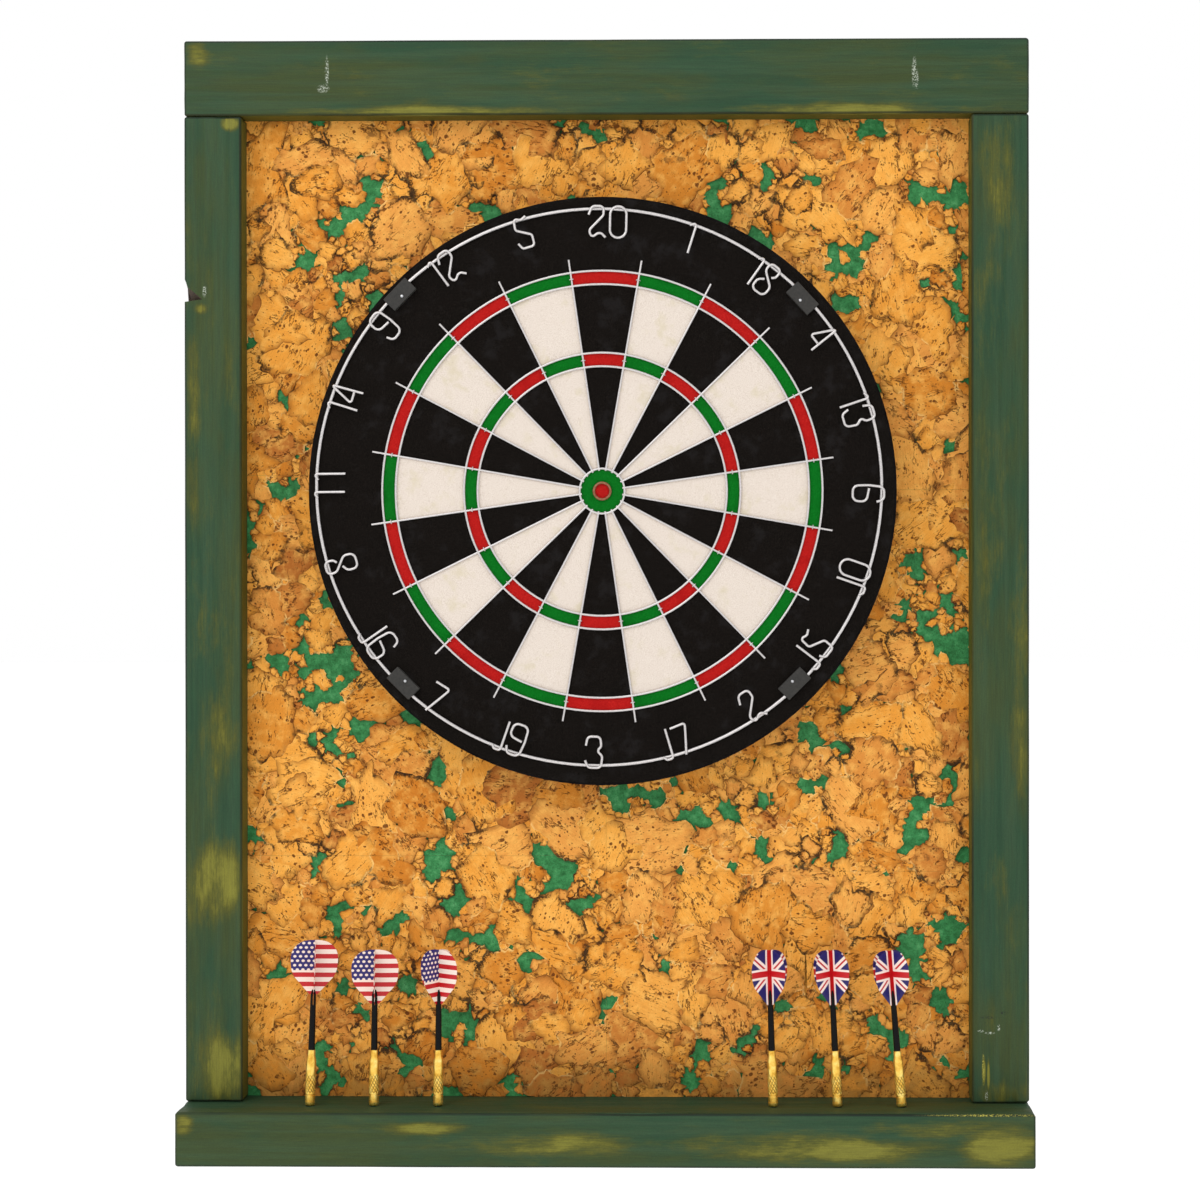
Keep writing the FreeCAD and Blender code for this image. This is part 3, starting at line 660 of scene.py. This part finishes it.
def cork_bark():
    """Cork bark: each flake has its own tone, pores in rows along its grain, cracks and scorched edges, with
    painted shade and a painted highlight along the flake rims.
    """
    s = Shader("cork_bark", rough=0.75, specular=0.12)
    p = s.place()
    g = s.stored("grain")
    tone = s.stored("tone", "Fac")
    rim = s.stored("rim", "Fac")
    colour = s.ramp(tone, (0.0, rgb(204, 122, 36)), (0.2, rgb(234, 154, 56)), (0.5, rgb(246, 172, 72)),
                    (0.75, rgb(236, 162, 76)), (0.9, rgb(216, 138, 58)), (1.0, rgb(178, 104, 42)))
    soft = s.noise(g, 9.0, 3.0, 0.6)
    colour = s.mix(s.step(soft, 0.4, 0.7, 0.0, 0.6), colour, rgb(254, 192, 96))
    streak = s.noise(s.stretch(g, (0.16, 1.3, 1)), 1.6, 4.0, 0.6)
    colour = s.mix(s.step(streak, 0.45, 0.7, 0.0, 0.28), colour, rgb(196, 120, 46))
    gritty = s.noise(g, 0.7, 3.0, 0.7)
    colour = s.mix(s.step(gritty, 0.5, 0.72, 0.0, 0.4), colour, rgb(160, 92, 38))
    # brown rims along some flake edges are painted shade; pale rims along others are a painted highlight
    zone = s.noise(p, 16.0, 3.0, 0.6)
    shade = s.calc("MULTIPLY", rim, s.step(zone, 0.38, 0.6, 0.2, 1.0))
    colour = s.mix(s.calc("MULTIPLY", shade, 0.7), colour, rgb(134, 74, 22))
    # painted highlight: pale rims on flakes away from the brown ones
    rim_highlight = s.calc("MULTIPLY", s.step(rim, 0.6, 0.95), s.step(zone, 0.46, 0.36))
    colour = s.mix(s.calc("MULTIPLY", rim_highlight, 0.6), colour, rgb(255, 214, 134))
    # pores and cracks
    pore_field = s.noise(s.stretch(g, (1, 1, 1), (7, 3, 50)), 14.0, 3.0, 0.6)
    wander = s.stretch(g, (0.75, 1.0, 1))
    pore = s.calc("ADD", s.cells(wander, 4.6), s.calc("MULTIPLY", s.noise(g, 1.3, 2.0, 0.5), 0.16))
    pore = s.calc("LESS_THAN", pore, s.step(pore_field, 0.42, 0.66, 0.08, 0.38))
    speck = s.cells(s.stretch(g, (0.8, 1.0, 1), (90, 0, 0)), 2.3)
    speck = s.calc("LESS_THAN", speck, s.step(pore_field, 0.38, 0.66, 0.09, 0.28))
    crack_noise = s.noise(s.stretch(g, (0.35, 1.0, 1), (0, 0, 90)), 7.0, 5.0, 0.62)
    crack = s.step(s.calc("ABSOLUTE", s.calc("SUBTRACT", crack_noise, 0.5)), 0.005, 0.018, 1.0, 0.0)
    crack = s.calc("MULTIPLY", crack, s.step(s.noise(g, 12.0, 2.0, 0.5), 0.48, 0.58))
    dark = s.calc("MAXIMUM", pore, s.calc("MAXIMUM", crack, s.calc("MULTIPLY", speck, 0.7)))
    colour = s.mix(s.calc("MULTIPLY", dark, 0.88), colour, rgb(92, 44, 14))
    # burnt edges: ragged splits that run in from the rim, joined by a dark line along the flake outlines that
    # is painted shadow where one flake steps down to the next
    ragged = s.noise(p, 3.4, 6.0, 0.75, 1.2)
    burnt_zone = s.step(s.noise(s.stretch(p, (1, 1, 1), (300, 0, 120)), 24.0, 4.0, 0.62), 0.51, 0.63)
    burnt_and_shadow = s.calc("ADD", s.calc("MULTIPLY", rim, 0.34), ragged)
    # painted shadow: a dark line along the flake outlines
    outline = s.calc("MULTIPLY", s.step(rim, 0.82, 0.97, 0.0, 0.5), s.step(zone, 0.46, 0.56))
    burnt_and_shadow = s.calc("MAXIMUM", s.calc("MULTIPLY", s.step(burnt_and_shadow, 0.66, 0.74), burnt_zone), outline)
    scorch = s.step(s.noise(s.stretch(p, (1, 1, 1), (70, 0, 20)), 20.0, 6.0, 0.7), 0.60, 0.70, 0.0, 0.7)
    scorch = s.calc("MULTIPLY", scorch, s.step(ragged, 0.4, 0.56, 0.3, 1.0))
    colour = s.mix(scorch, colour, rgb(84, 54, 26))
    # darker and browner towards the bottom, just above the shelf
    level = s.add("ShaderNodeSeparateXYZ", {0: p}).outputs[2]
    bottom_darkening = s.calc("MULTIPLY", s.step(level, -338.0, -392.0, 0.0, 0.6), s.step(soft, 0.3, 0.6, 0.5, 1.0))
    colour = s.mix(bottom_darkening, colour, rgb(96, 62, 22))
    colour = s.mix(s.calc("MULTIPLY", burnt_and_shadow, 0.92), colour, rgb(40, 30, 20))
    height = s.calc("SUBTRACT", s.calc("MULTIPLY", streak, 0.5), s.calc("MAXIMUM", dark, burnt_and_shadow))
    relief = s.bump(height, 0.5, 0.9, s.bump(gritty, 0.2, 0.6))
    return s.done(colour, normal=relief)


def green_base():
    """Rough green paint that shows between the flakes."""
    s = Shader("green_base_paint", rough=0.6, specular=0.15)
    p = s.place()
    mottle = s.noise(p, 6.0, 5.0, 0.65)
    grit = s.noise(p, 0.9, 3.0, 0.7)
    colour = s.ramp(mottle, (0.3, rgb(32, 92, 44)), (0.55, rgb(58, 134, 76)), (0.75, rgb(92, 164, 104)))
    colour = s.mix(s.step(grit, 0.52, 0.68, 0.0, 0.7), colour, rgb(28, 70, 32))
    return s.done(colour, normal=s.bump(grit, 0.3, 0.7))


def build_cork():
    cork = cork_bark()
    base = green_base()
    rng = np.random.default_rng(flake_seed)
    names = [f"{side}_{row}" for side in ("left", "right") for row in ("top", "middle", "bottom")]
    boxes = [node_box(f"cork_tile_{name}") for name in names]
    low, high = np.min(boxes, axis=(0, 1)), np.max(boxes, axis=(0, 1))
    flakes = scatter_flakes(rng, low[[0, 2]], high[[0, 2]])
    tops = flake_heights(rng, len(flakes), low[1])
    for name in names:
        cork_tile(f"cork_{name}", f"cork_tile_{name}", flakes, tops, cork, base)


# ---- dart board

def sisal(name, dark, mid, light, specular, smudge):
    """Ends of packed sisal fibres: a fine speckle, soft smudges and small dart pricks."""
    s = Shader(name, rough=0.85, specular=specular)
    p = s.place()
    fibre = s.noise(p, 0.55, 3.0, 0.75)
    cloud = s.noise(p, 16.0, 4.0, 0.6)
    colour = s.ramp(fibre, (0.3, dark), (0.5, mid), (0.72, light))
    colour = s.mix(s.step(cloud, 0.52, 0.72, 0.0, 0.55), colour, smudge)
    prick = s.cells(s.stretch(p, (1, 0.01, 1)), 7.5)
    sparse = s.step(s.noise(p, 30.0, 2.0, 0.5), 0.5, 0.62)
    prick = s.calc("MULTIPLY", s.step(prick, 0.05, 0.085, 1.0, 0.0), sparse)
    colour = s.mix(s.calc("MULTIPLY", prick, 0.5), colour, dark)
    height = s.calc("SUBTRACT", fibre, prick)
    return s.done(colour, normal=s.bump(height, 0.28, 0.8, s.bump(cloud, 0.8, 0.35)))


def sisal_dyes():
    return [
        sisal("sisal_black", rgb(6, 5, 4), rgb(17, 14, 12), rgb(44, 39, 35), 0.03, rgb(36, 34, 34)),
        sisal("sisal_cream", rgb(186, 170, 152), rgb(226, 213, 201), rgb(240, 231, 221), 0.08,
              rgb(208, 196, 164)),
        sisal("sisal_red", rgb(136, 14, 14), rgb(180, 25, 23), rgb(204, 48, 42), 0.05, rgb(156, 18, 18)),
        sisal("sisal_green", rgb(2, 74, 14), rgb(6, 106, 26), rgb(26, 128, 44), 0.05, rgb(4, 90, 20)),
    ]


def board_core():
    """Sisal disc whose face is divided exactly along the wires."""
    black, cream, red, green = range(4)
    ring_step, wire_groove, lump_depth, face_gap = 3.2, 0.22, 0.06, 0.02
    low, high = node_box("board_core")
    centre_x = (low[0] + high[0]) / 2
    centre_z = (low[2] + high[2]) / 2
    radius = (high[0] - low[0]) / 2
    face_y, back_y = low[1], high[1]
    per_sector = 24
    around = sectors * per_sector
    turn = np.radians(spoke_offset + np.arange(around) * 360 / around)
    sector = ((np.arange(around) + per_sector // 2) // per_sector) % sectors
    odd = sector % 2 == 1
    bed = np.where(odd, cream, black)
    scoring = np.where(odd, green, red)
    bands = [
        (0.0, bull_eye, np.full(around, red)), (bull_eye, bull, np.full(around, green)),
        (bull, treble[0], bed), (*treble, scoring), (treble[1], double[0], bed), (*double, scoring),
        (double[1], radius - 1.0, np.full(around, black)),
    ]
    radii, dyes = [], []
    for inner, outer, dye in bands:
        steps = max(2, round((outer - inner) / ring_step))
        for k in range(1, steps + 1):
            radii.append(inner + (outer - inner) * k / steps)
            dyes.append(dye)
    face_rings = len(radii)
    wires = [bull_eye, bull, *treble, *double]
    depths = [wire_groove * max(math.exp(-abs(r - w) / 2.0) for w in wires) for r in radii]
    thickness = back_y - face_y
    face_y += face_gap
    rim = [(radius - 0.3, 0.3), (radius, 1.0), (radius, thickness - 0.5), (radius - 0.5, thickness),
           (radius * 0.5, thickness)]
    radii += [r for r, _ in rim]
    depths += [d for _, d in rim]
    dyes += [np.full(around, black)] * len(rim)
    points = [(centre_x, face_y, centre_z)]
    for r, depth in zip(radii, depths):
        x = centre_x + r * np.sin(turn)
        z = centre_z + r * np.cos(turn)
        points += np.column_stack([x, np.full(around, face_y + depth), z]).tolist()
    points = np.array(points)
    face_count = 1 + face_rings * around
    lumps = lump_depth * (1 + np.clip(ripple(points[:face_count], seed=7, size=11), -1, 1))
    points[:face_count, 1] += lumps
    points = np.vstack([points, [centre_x, back_y, centre_z]])
    kinds = np.concatenate(dyes + [np.full(around, black)])
    faces = turned_faces(len(radii), around)
    mesh = mesh_from("sisal_core", points, faces, sisal_dyes(), kinds, flat_over=50)
    piece("sisal_core", mesh, "dartboard", "sisal", "board_core")


def bright_wire():
    s = Shader("bright_wire", rough=0.3, specular=0.5, metallic=0.85)
    p = s.place()
    scratch = s.noise(p, 0.7, 4.0, 0.7)
    colour = s.ramp(scratch, (0.3, rgb(182, 178, 178)), (0.6, rgb(222, 217, 215)))
    return s.done(colour, s.step(scratch, 0.3, 0.7, 0.24, 0.42), s.bump(scratch, 0.05, 0.3))


def metal(name, low, high, rough, size=1.5):
    s = Shader(name, rough=rough, metallic=1.0)
    p = s.place()
    cloud = s.noise(p, size, 5.0, 0.65)
    colour = s.ramp(cloud, (0.3, low), (0.7, high))
    return s.done(colour, s.step(cloud, 0.3, 0.7, rough * 0.8, rough * 1.3), s.bump(cloud, 0.04, 0.3))


def plastic(name, low, high, rough, specular=0.4, size=0.8):
    s = Shader(name, rough=rough, specular=specular)
    p = s.place()
    grain = s.noise(p, size, 3.0, 0.6)
    colour = s.ramp(grain, (0.3, low), (0.7, high))
    return s.done(colour, s.step(grain, 0.3, 0.7, rough * 0.85, rough * 1.15), s.bump(grain, 0.06, 0.35))


def plywood():
    s = Shader("birch_plywood", rough=0.7, specular=0.15)
    p = s.place()
    fibre = s.noise(s.stretch(p, (1, 1, 0.03)), 1.1, 5.0, 0.65)
    figure = s.noise(s.stretch(p, (1, 1, 0.12)), 26.0, 4.0, 0.5, 1.2)
    knot = s.cells(s.stretch(p, (1, 1, 0.6)), 150.0)
    colour = s.ramp(figure, (0.3, rgb(196, 160, 112)), (0.5, rgb(214, 182, 136)),
                    (0.7, rgb(186, 146, 98)))
    colour = s.mix(s.step(fibre, 0.45, 0.75, 0.0, 0.4), colour, rgb(150, 112, 72))
    colour = s.mix(s.step(knot, 0.03, 0.06, 0.7, 0.0), colour, rgb(96, 60, 34))
    return s.done(colour, normal=s.bump(fibre, 0.2, 0.6))


def fibreboard():
    s = Shader("fibreboard", rough=0.85, specular=0.1)
    p = s.place()
    fleck = s.noise(p, 1.4, 5.0, 0.7)
    colour = s.ramp(fleck, (0.3, rgb(112, 82, 54)), (0.7, rgb(158, 124, 86)))
    return s.done(colour, normal=s.bump(fleck, 0.2, 0.6))


def paint_cad():
    paint(plywood(), "back_panel")
    paint(metal("zinc_plate", rgb(150, 152, 156), rgb(196, 198, 202), 0.38, 5.0),
          "hanger_plates", "hanging_bracket", "frame_screws", "panel_screws", "hanger_plate_screws",
          "bracket_screws", "hanger_screw")
    paint(plastic("nylon_bush", rgb(214, 210, 198), rgb(232, 229, 220), 0.45), "hanger_bush")
    paint(fibreboard(), "board_backing")
    paint(metal("black_band", rgb(14, 13, 13), rgb(30, 28, 28), 0.42, 8.0), "rim_band")
    paint(bright_wire(), "wire_spider", "wire_staples", "number_hoop", "ring_numerals")
    paint(metal("worn_bull_wire", rgb(118, 74, 50), rgb(178, 132, 104), 0.5, 1.2), "bull_eye_ring")
    paint(plastic("rubber_foot", rgb(20, 20, 20), rgb(36, 35, 34), 0.8, 0.2), "board_feet")
    paint(plastic("clip_plastic", rgb(42, 41, 39), rgb(58, 56, 53), 0.55, 0.25, 1.6), "ring_clips")
    paint(metal("pin_steel", rgb(180, 180, 182), rgb(214, 214, 216), 0.3), "clip_pins")
    paint(plastic("stem_plastic", rgb(6, 6, 6), rgb(14, 13, 13), 0.3, 0.12),
          *[f"dart_{k}_stem" for k in range(1, 7)])
    paint(metal("point_steel", rgb(60, 60, 64), rgb(96, 96, 100), 0.3),
          *[f"dart_{k}_point" for k in range(1, 7)])


# ---- darts

def darts():
    """Each dart's axis, the mouth and middle of its hole, and the way its wings face."""
    joints = {joint["name"]: joint for joint in frame["joints"]}
    found = []
    for k in range(1, 7):
        along = np.array(joints[f"dart_{k}_lift"]["axis"], float)
        along = along / np.linalg.norm(along)
        point = np.array([v.co for v in frame["nodes"][f"dart_{k}_point"].data.vertices]) / MM
        tip = point[np.argmin(point @ along)]
        mouth = tip + along * point_depth
        hole = tip + along * point_depth / 2
        flight = np.array([v.co for v in frame["nodes"][f"dart_{k}_flight"].data.vertices]) / MM
        offset = flight - mouth
        height = offset @ along
        across = offset - np.outer(height, along)
        widest = across[np.argmax(np.linalg.norm(across, axis=1))]
        widest = widest / np.linalg.norm(widest)
        found.append({"number": k, "along": along, "mouth": mouth, "hole": hole, "wing": widest,
                      "flight_foot": height.min()})
    return found


def dart_frame(dart):
    """Sideways, forward and axial directions of a dart."""
    along = dart["along"]
    side = np.cross(np.array([0.0, 1.0, 0.0]), along)
    side = side / np.linalg.norm(side)
    return side, np.cross(along, side), along


def knurl(height, turn):
    """Depth of the cuts round the barrel's grip: crossed spiral grooves that leave small scales."""
    grip = np.clip((height - knurled[0]) / 1.5, 0, 1) * np.clip((knurled[1] - height) / 2.5, 0, 1)
    starts, short_pitch, long_pitch = 9, 3.4, 5.2
    first = np.abs(np.mod(turn * starts / (2 * math.pi) + height / short_pitch, 1) - 0.5) * 2
    second = np.abs(np.mod(turn * starts / (2 * math.pi) - height / long_pitch, 1) - 0.5) * 2
    cuts = np.maximum(np.clip(first - 0.66, 0, 1) / 0.34, np.clip(second - 0.74, 0, 1) / 0.26)
    return knurl_depth * grip * np.clip(cuts, 0, 1)


def barrel_profile():
    """Heights and radii of the barrel's outside, close together where it is cut."""
    top, full, neck = barrel_length, barrel_radius, neck_radius
    keys = [
        (barrel_lift, full - 0.7), (barrel_lift + 0.5, full - 0.25), (barrel_lift + 1.4, full),
        (3.6, full), (3.8, full - 0.22), (4.1, full - 0.22), (4.3, full),
        (7.9, full), (8.3, full - 0.4), (9.0, full - 0.4), (9.4, full), (26.0, full), (top - 8.4, full - 0.1),
        (top - neck_length - 0.4, neck + 0.15), (top - neck_length, neck), (top - 0.3, neck),
        (top, neck - 0.3),
    ]
    heights = np.unique(np.concatenate([[h for h, _ in keys], np.arange(9.5, 26.0, 0.3)]))
    return heights, np.interp(heights, [h for h, _ in keys], [r for _, r in keys])


def knurled_barrel(dart, material, sides=72):
    heights, radii = barrel_profile()
    side, ahead, along = dart_frame(dart)
    turn = np.arange(sides) * 2 * math.pi / sides
    points = [dart["mouth"] + along * heights[0]]
    cuts = [0.0]
    for h, r in zip(heights, radii):
        depth = knurl(h, turn)
        cuts += (depth / knurl_depth).tolist()
        reach = r - depth
        ring = np.outer(np.cos(turn) * reach, side) + np.outer(np.sin(turn) * reach, ahead)
        points += (dart["mouth"] + along * h + ring).tolist()
    points.append(dart["mouth"] + along * heights[-1])
    cuts.append(0.0)
    faces = turned_faces(len(heights), sides)
    number = dart["number"]
    mesh = mesh_from(f"dart_{number}_knurled_barrel", np.array(points), faces, [material], flat_over=32)
    store(mesh, "cut", cuts)
    piece(f"dart_{number}_knurled_barrel", mesh, f"dart_{number}", "brass", f"dart_{number}_barrel")


def brass():
    s = Shader("worn_brass", rough=0.3, metallic=0.9)
    p = s.place()
    cloud = s.noise(p, 5.0, 4.0, 0.6)
    turned = s.noise(s.stretch(p, (1, 1, 9)), 4.0, 2.0, 0.5)
    colour = s.ramp(cloud, (0.3, rgb(222, 164, 56)), (0.5, rgb(250, 204, 92)), (0.7, rgb(255, 232, 138)))
    cut_depth = s.stored("cut", "Fac")
    colour = s.mix(s.calc("MULTIPLY", cut_depth, 0.9), colour, rgb(112, 72, 22))
    return s.done(colour, s.step(cloud, 0.3, 0.7, 0.4, 0.28), s.bump(turned, 0.02, 0.25))


def wing_edges(heights):
    """How far a wing reaches out at heights above the flight's foot."""
    keys = np.array([(0, 3.2), (13.6, 15.2), (16.0, 16.4), (19.0, 17.4), (22.0, 17.9), (27.7, 18.2),
                     (31.0, 17.8), (34.0, 16.8), (36.5, 15.2), (38.5, 13.2), (40.2, 10.6), (41.3, 7.8),
                     (42, 3.4)])
    return np.interp(heights, keys[:, 0], keys[:, 1])


def flight(dart, material):
    """Four thin printed wings, each bowed a little, drawn out from the fold on the dart's axis."""
    columns, fold, shoulder, wing_bow = 12, 0.12, 38.0, 0.35
    lower_rows = np.linspace(0, shoulder, 32, endpoint=False)
    heights = np.concatenate([lower_rows, np.linspace(shoulder, flight_height, 8)])
    reach = wing_edges(heights)
    along = dart["along"]
    first = dart["wing"]
    second = np.cross(along, first)
    points, faces, prints = [], [], []
    for quarter in range(4):
        out = first * math.cos(quarter * math.pi / 2) + second * math.sin(quarter * math.pi / 2)
        normal = np.cross(along, out)
        sign = -1.0 if (out[0] if abs(out[0]) > 0.3 else -out[1]) < 0 else 1.0
        bow = wing_bow * (1 if quarter % 2 else -1)
        start = len(points)
        for face_side in (-1, 1):
            for h, r in zip(heights, reach):
                for c in range(columns + 1):
                    u = fold + (r - fold) * c / columns
                    bend = bow * math.sin(math.pi * c / columns) * math.sin(math.pi * h / flight_height)
                    place = dart["mouth"] + along * (dart["flight_foot"] + h) + out * u
                    points.append(place + normal * (bend + face_side * flight_film / 2))
                    prints.append((sign * u, h, quarter))
        grid = len(heights) * (columns + 1)
        for row in range(len(heights) - 1):
            for c in range(columns):
                a = start + row * (columns + 1) + c
                b = a + columns + 1
                faces.append((a, a + 1, b + 1, b))
                faces.append((a + grid, b + grid, b + grid + 1, a + grid + 1))
        index = (start + np.arange(grid)).reshape(-1, columns + 1).tolist()
        border = index[0] + [row[-1] for row in index[1:]]
        border += index[-1][-2::-1] + [row[0] for row in index[-2:0:-1]]
        for a, b in zip(border, border[1:] + border[:1]):
            faces.append((a, a + grid, b + grid, b))
    number = dart["number"]
    mesh = mesh_from(f"dart_{number}_printed_flight", np.array(points), faces, [material], flat_over=40)
    store(mesh, "print", prints)
    piece(f"dart_{number}_printed_flight", mesh, f"dart_{number}", "printed_film",
          f"dart_{number}_flight")


def film(s, colour):
    """Creased, half-glossy film printed in the given colour."""
    crease = s.noise(s.stored("print"), 6.0, 3.0, 0.5)
    return s.done(colour, s.step(crease, 0.3, 0.7, 0.28, 0.45), s.bump(crease, 0.3, 0.3))


def stripes_print():
    """Red and white stripes, with white dots on blue in the upper left."""
    s = Shader("print_stripes_and_dots", rough=0.35, specular=0.4)
    axes = s.add("ShaderNodeSeparateXYZ", {0: s.stored("print")}).outputs
    across, up = axes[0], axes[1]
    white, red, blue = rgb(246, 226, 212), rgb(192, 24, 30), rgb(36, 26, 104)
    pitch = 3.6
    phase = s.calc("FRACT", s.calc("DIVIDE", s.calc("SUBTRACT", flight_height, up), 2 * pitch))
    colour = s.mix(s.calc("GREATER_THAN", phase, 0.5), white, red)
    upper = s.calc("GREATER_THAN", up, flight_height * 0.44)
    canton = s.calc("MULTIPLY", s.calc("LESS_THAN", across, 0.0), upper)
    colour = s.mix(canton, colour, blue)
    dot_pitch = 4.3
    rows = s.calc("DIVIDE", up, dot_pitch * 0.8)
    shift = s.calc("MULTIPLY", s.calc("FLOOR", rows), 0.5)
    columns = s.calc("ADD", s.calc("DIVIDE", across, dot_pitch), shift)
    u = s.calc("SUBTRACT", s.calc("FRACT", columns), 0.5)
    v = s.calc("SUBTRACT", s.calc("FRACT", rows), 0.5)
    far = s.calc("SQRT", s.calc("ADD", s.calc("MULTIPLY", u, u), s.calc("MULTIPLY", v, v)))
    dots = s.calc("MULTIPLY", canton, s.step(far, 0.24, 0.34, 1.0, 0.0))
    colour = s.mix(dots, colour, white)
    return film(s, colour)


def crosses_print():
    """Red upright cross edged with white over white and red diagonals, on blue."""
    s = Shader("print_crosses", rough=0.35, specular=0.4)
    axes = s.add("ShaderNodeSeparateXYZ", {0: s.stored("print")}).outputs
    across = s.calc("ABSOLUTE", axes[0])
    middle = 24.0
    up = s.calc("ABSOLUTE", s.calc("SUBTRACT", axes[1], middle))
    white, red, blue = rgb(246, 228, 218), rgb(194, 14, 24), rgb(32, 24, 96)
    diagonal = s.calc("ABSOLUTE", s.calc("SUBTRACT", s.calc("MULTIPLY", across, 0.8), up))
    colour = s.mix(s.calc("LESS_THAN", diagonal, 3.6), blue, white)
    colour = s.mix(s.calc("LESS_THAN", diagonal, 0.9), colour, red)
    beam = s.calc("MINIMUM", across, up)
    colour = s.mix(s.calc("LESS_THAN", beam, 4.0), colour, white)
    colour = s.mix(s.calc("LESS_THAN", beam, 2.3), colour, red)
    return film(s, colour)


def build_darts():
    metal_finish = brass()
    stripes = stripes_print()
    crosses = crosses_print()
    for dart in darts():
        knurled_barrel(dart, metal_finish)
        flight(dart, stripes if dart["number"] <= 3 else crosses)


# ---- stage, light and camera

def studio():
    """Pale floor well below the hanging cabinet, white surroundings, one large soft light; in metres."""
    floor_z, half = -0.95, 30.0
    white = (1.0, 1.0, 1.0, 1.0)
    mesh = bpy.data.meshes.new("floor")
    corners = [(x * half, y * half, floor_z) for x, y in ((-1, -1), (1, -1), (1, 1), (-1, 1))]
    mesh.from_pydata(corners, [], [(0, 1, 2, 3)])
    floor = bpy.data.objects.new("floor", mesh)
    bpy.context.scene.collection.objects.link(floor)
    s = Shader("pale_floor", rough=0.9, specular=0.1)
    s.surface.inputs["Emission Color"].default_value = white
    s.surface.inputs["Emission Strength"].default_value = 0.16
    mesh.materials.append(s.done((0.92, 0.92, 0.92, 1.0)))
    world = bpy.data.worlds.new("white_studio")
    world.use_nodes = True
    sky = world.node_tree.nodes["Background"]
    sky.inputs["Color"].default_value = white
    sky.inputs["Strength"].default_value = 1.0
    bpy.context.scene.world = world
    lamp = bpy.data.lights.new("softbox", "AREA")
    lamp.shape = "RECTANGLE"
    lamp.size, lamp.size_y = 1.6, 1.2
    lamp.energy = 14.0
    light = bpy.data.objects.new("softbox", lamp)
    light.location = (-1.1, -2.0, 1.5)
    light.rotation_mode = "QUATERNION"
    light.rotation_quaternion = (Vector((0, 0, 0)) - light.location).to_track_quat("-Z", "Y")
    bpy.context.scene.collection.objects.link(light)
    bpy.context.scene.view_settings.view_transform = "Standard"


def camera():
    """Level view from just right of the middle, its lens shifted a little sideways; place in metres."""
    yaw, pitch, roll = 0.0151, -0.0036, 0.0009
    place = (0.0859, -1.9002, 0.0053)
    lens = bpy.data.cameras.new("camera")
    lens.sensor_width = 36.0
    lens.lens = 71.99
    lens.shift_x = -0.0667
    eye = bpy.data.objects.new("camera", lens)
    bpy.context.scene.collection.objects.link(eye)
    level = Matrix.Rotation(math.pi / 2, 4, "X")
    turn = Matrix.Rotation(yaw, 4, "Z") @ Matrix.Rotation(pitch, 4, "X") @ Matrix.Rotation(roll, 4, "Y")
    eye.matrix_world = Matrix.Translation(place) @ turn @ level
    bpy.context.scene.camera = eye


paint_cad()
build_timber()
build_cork()
board_core()
build_darts()
studio()
camera()
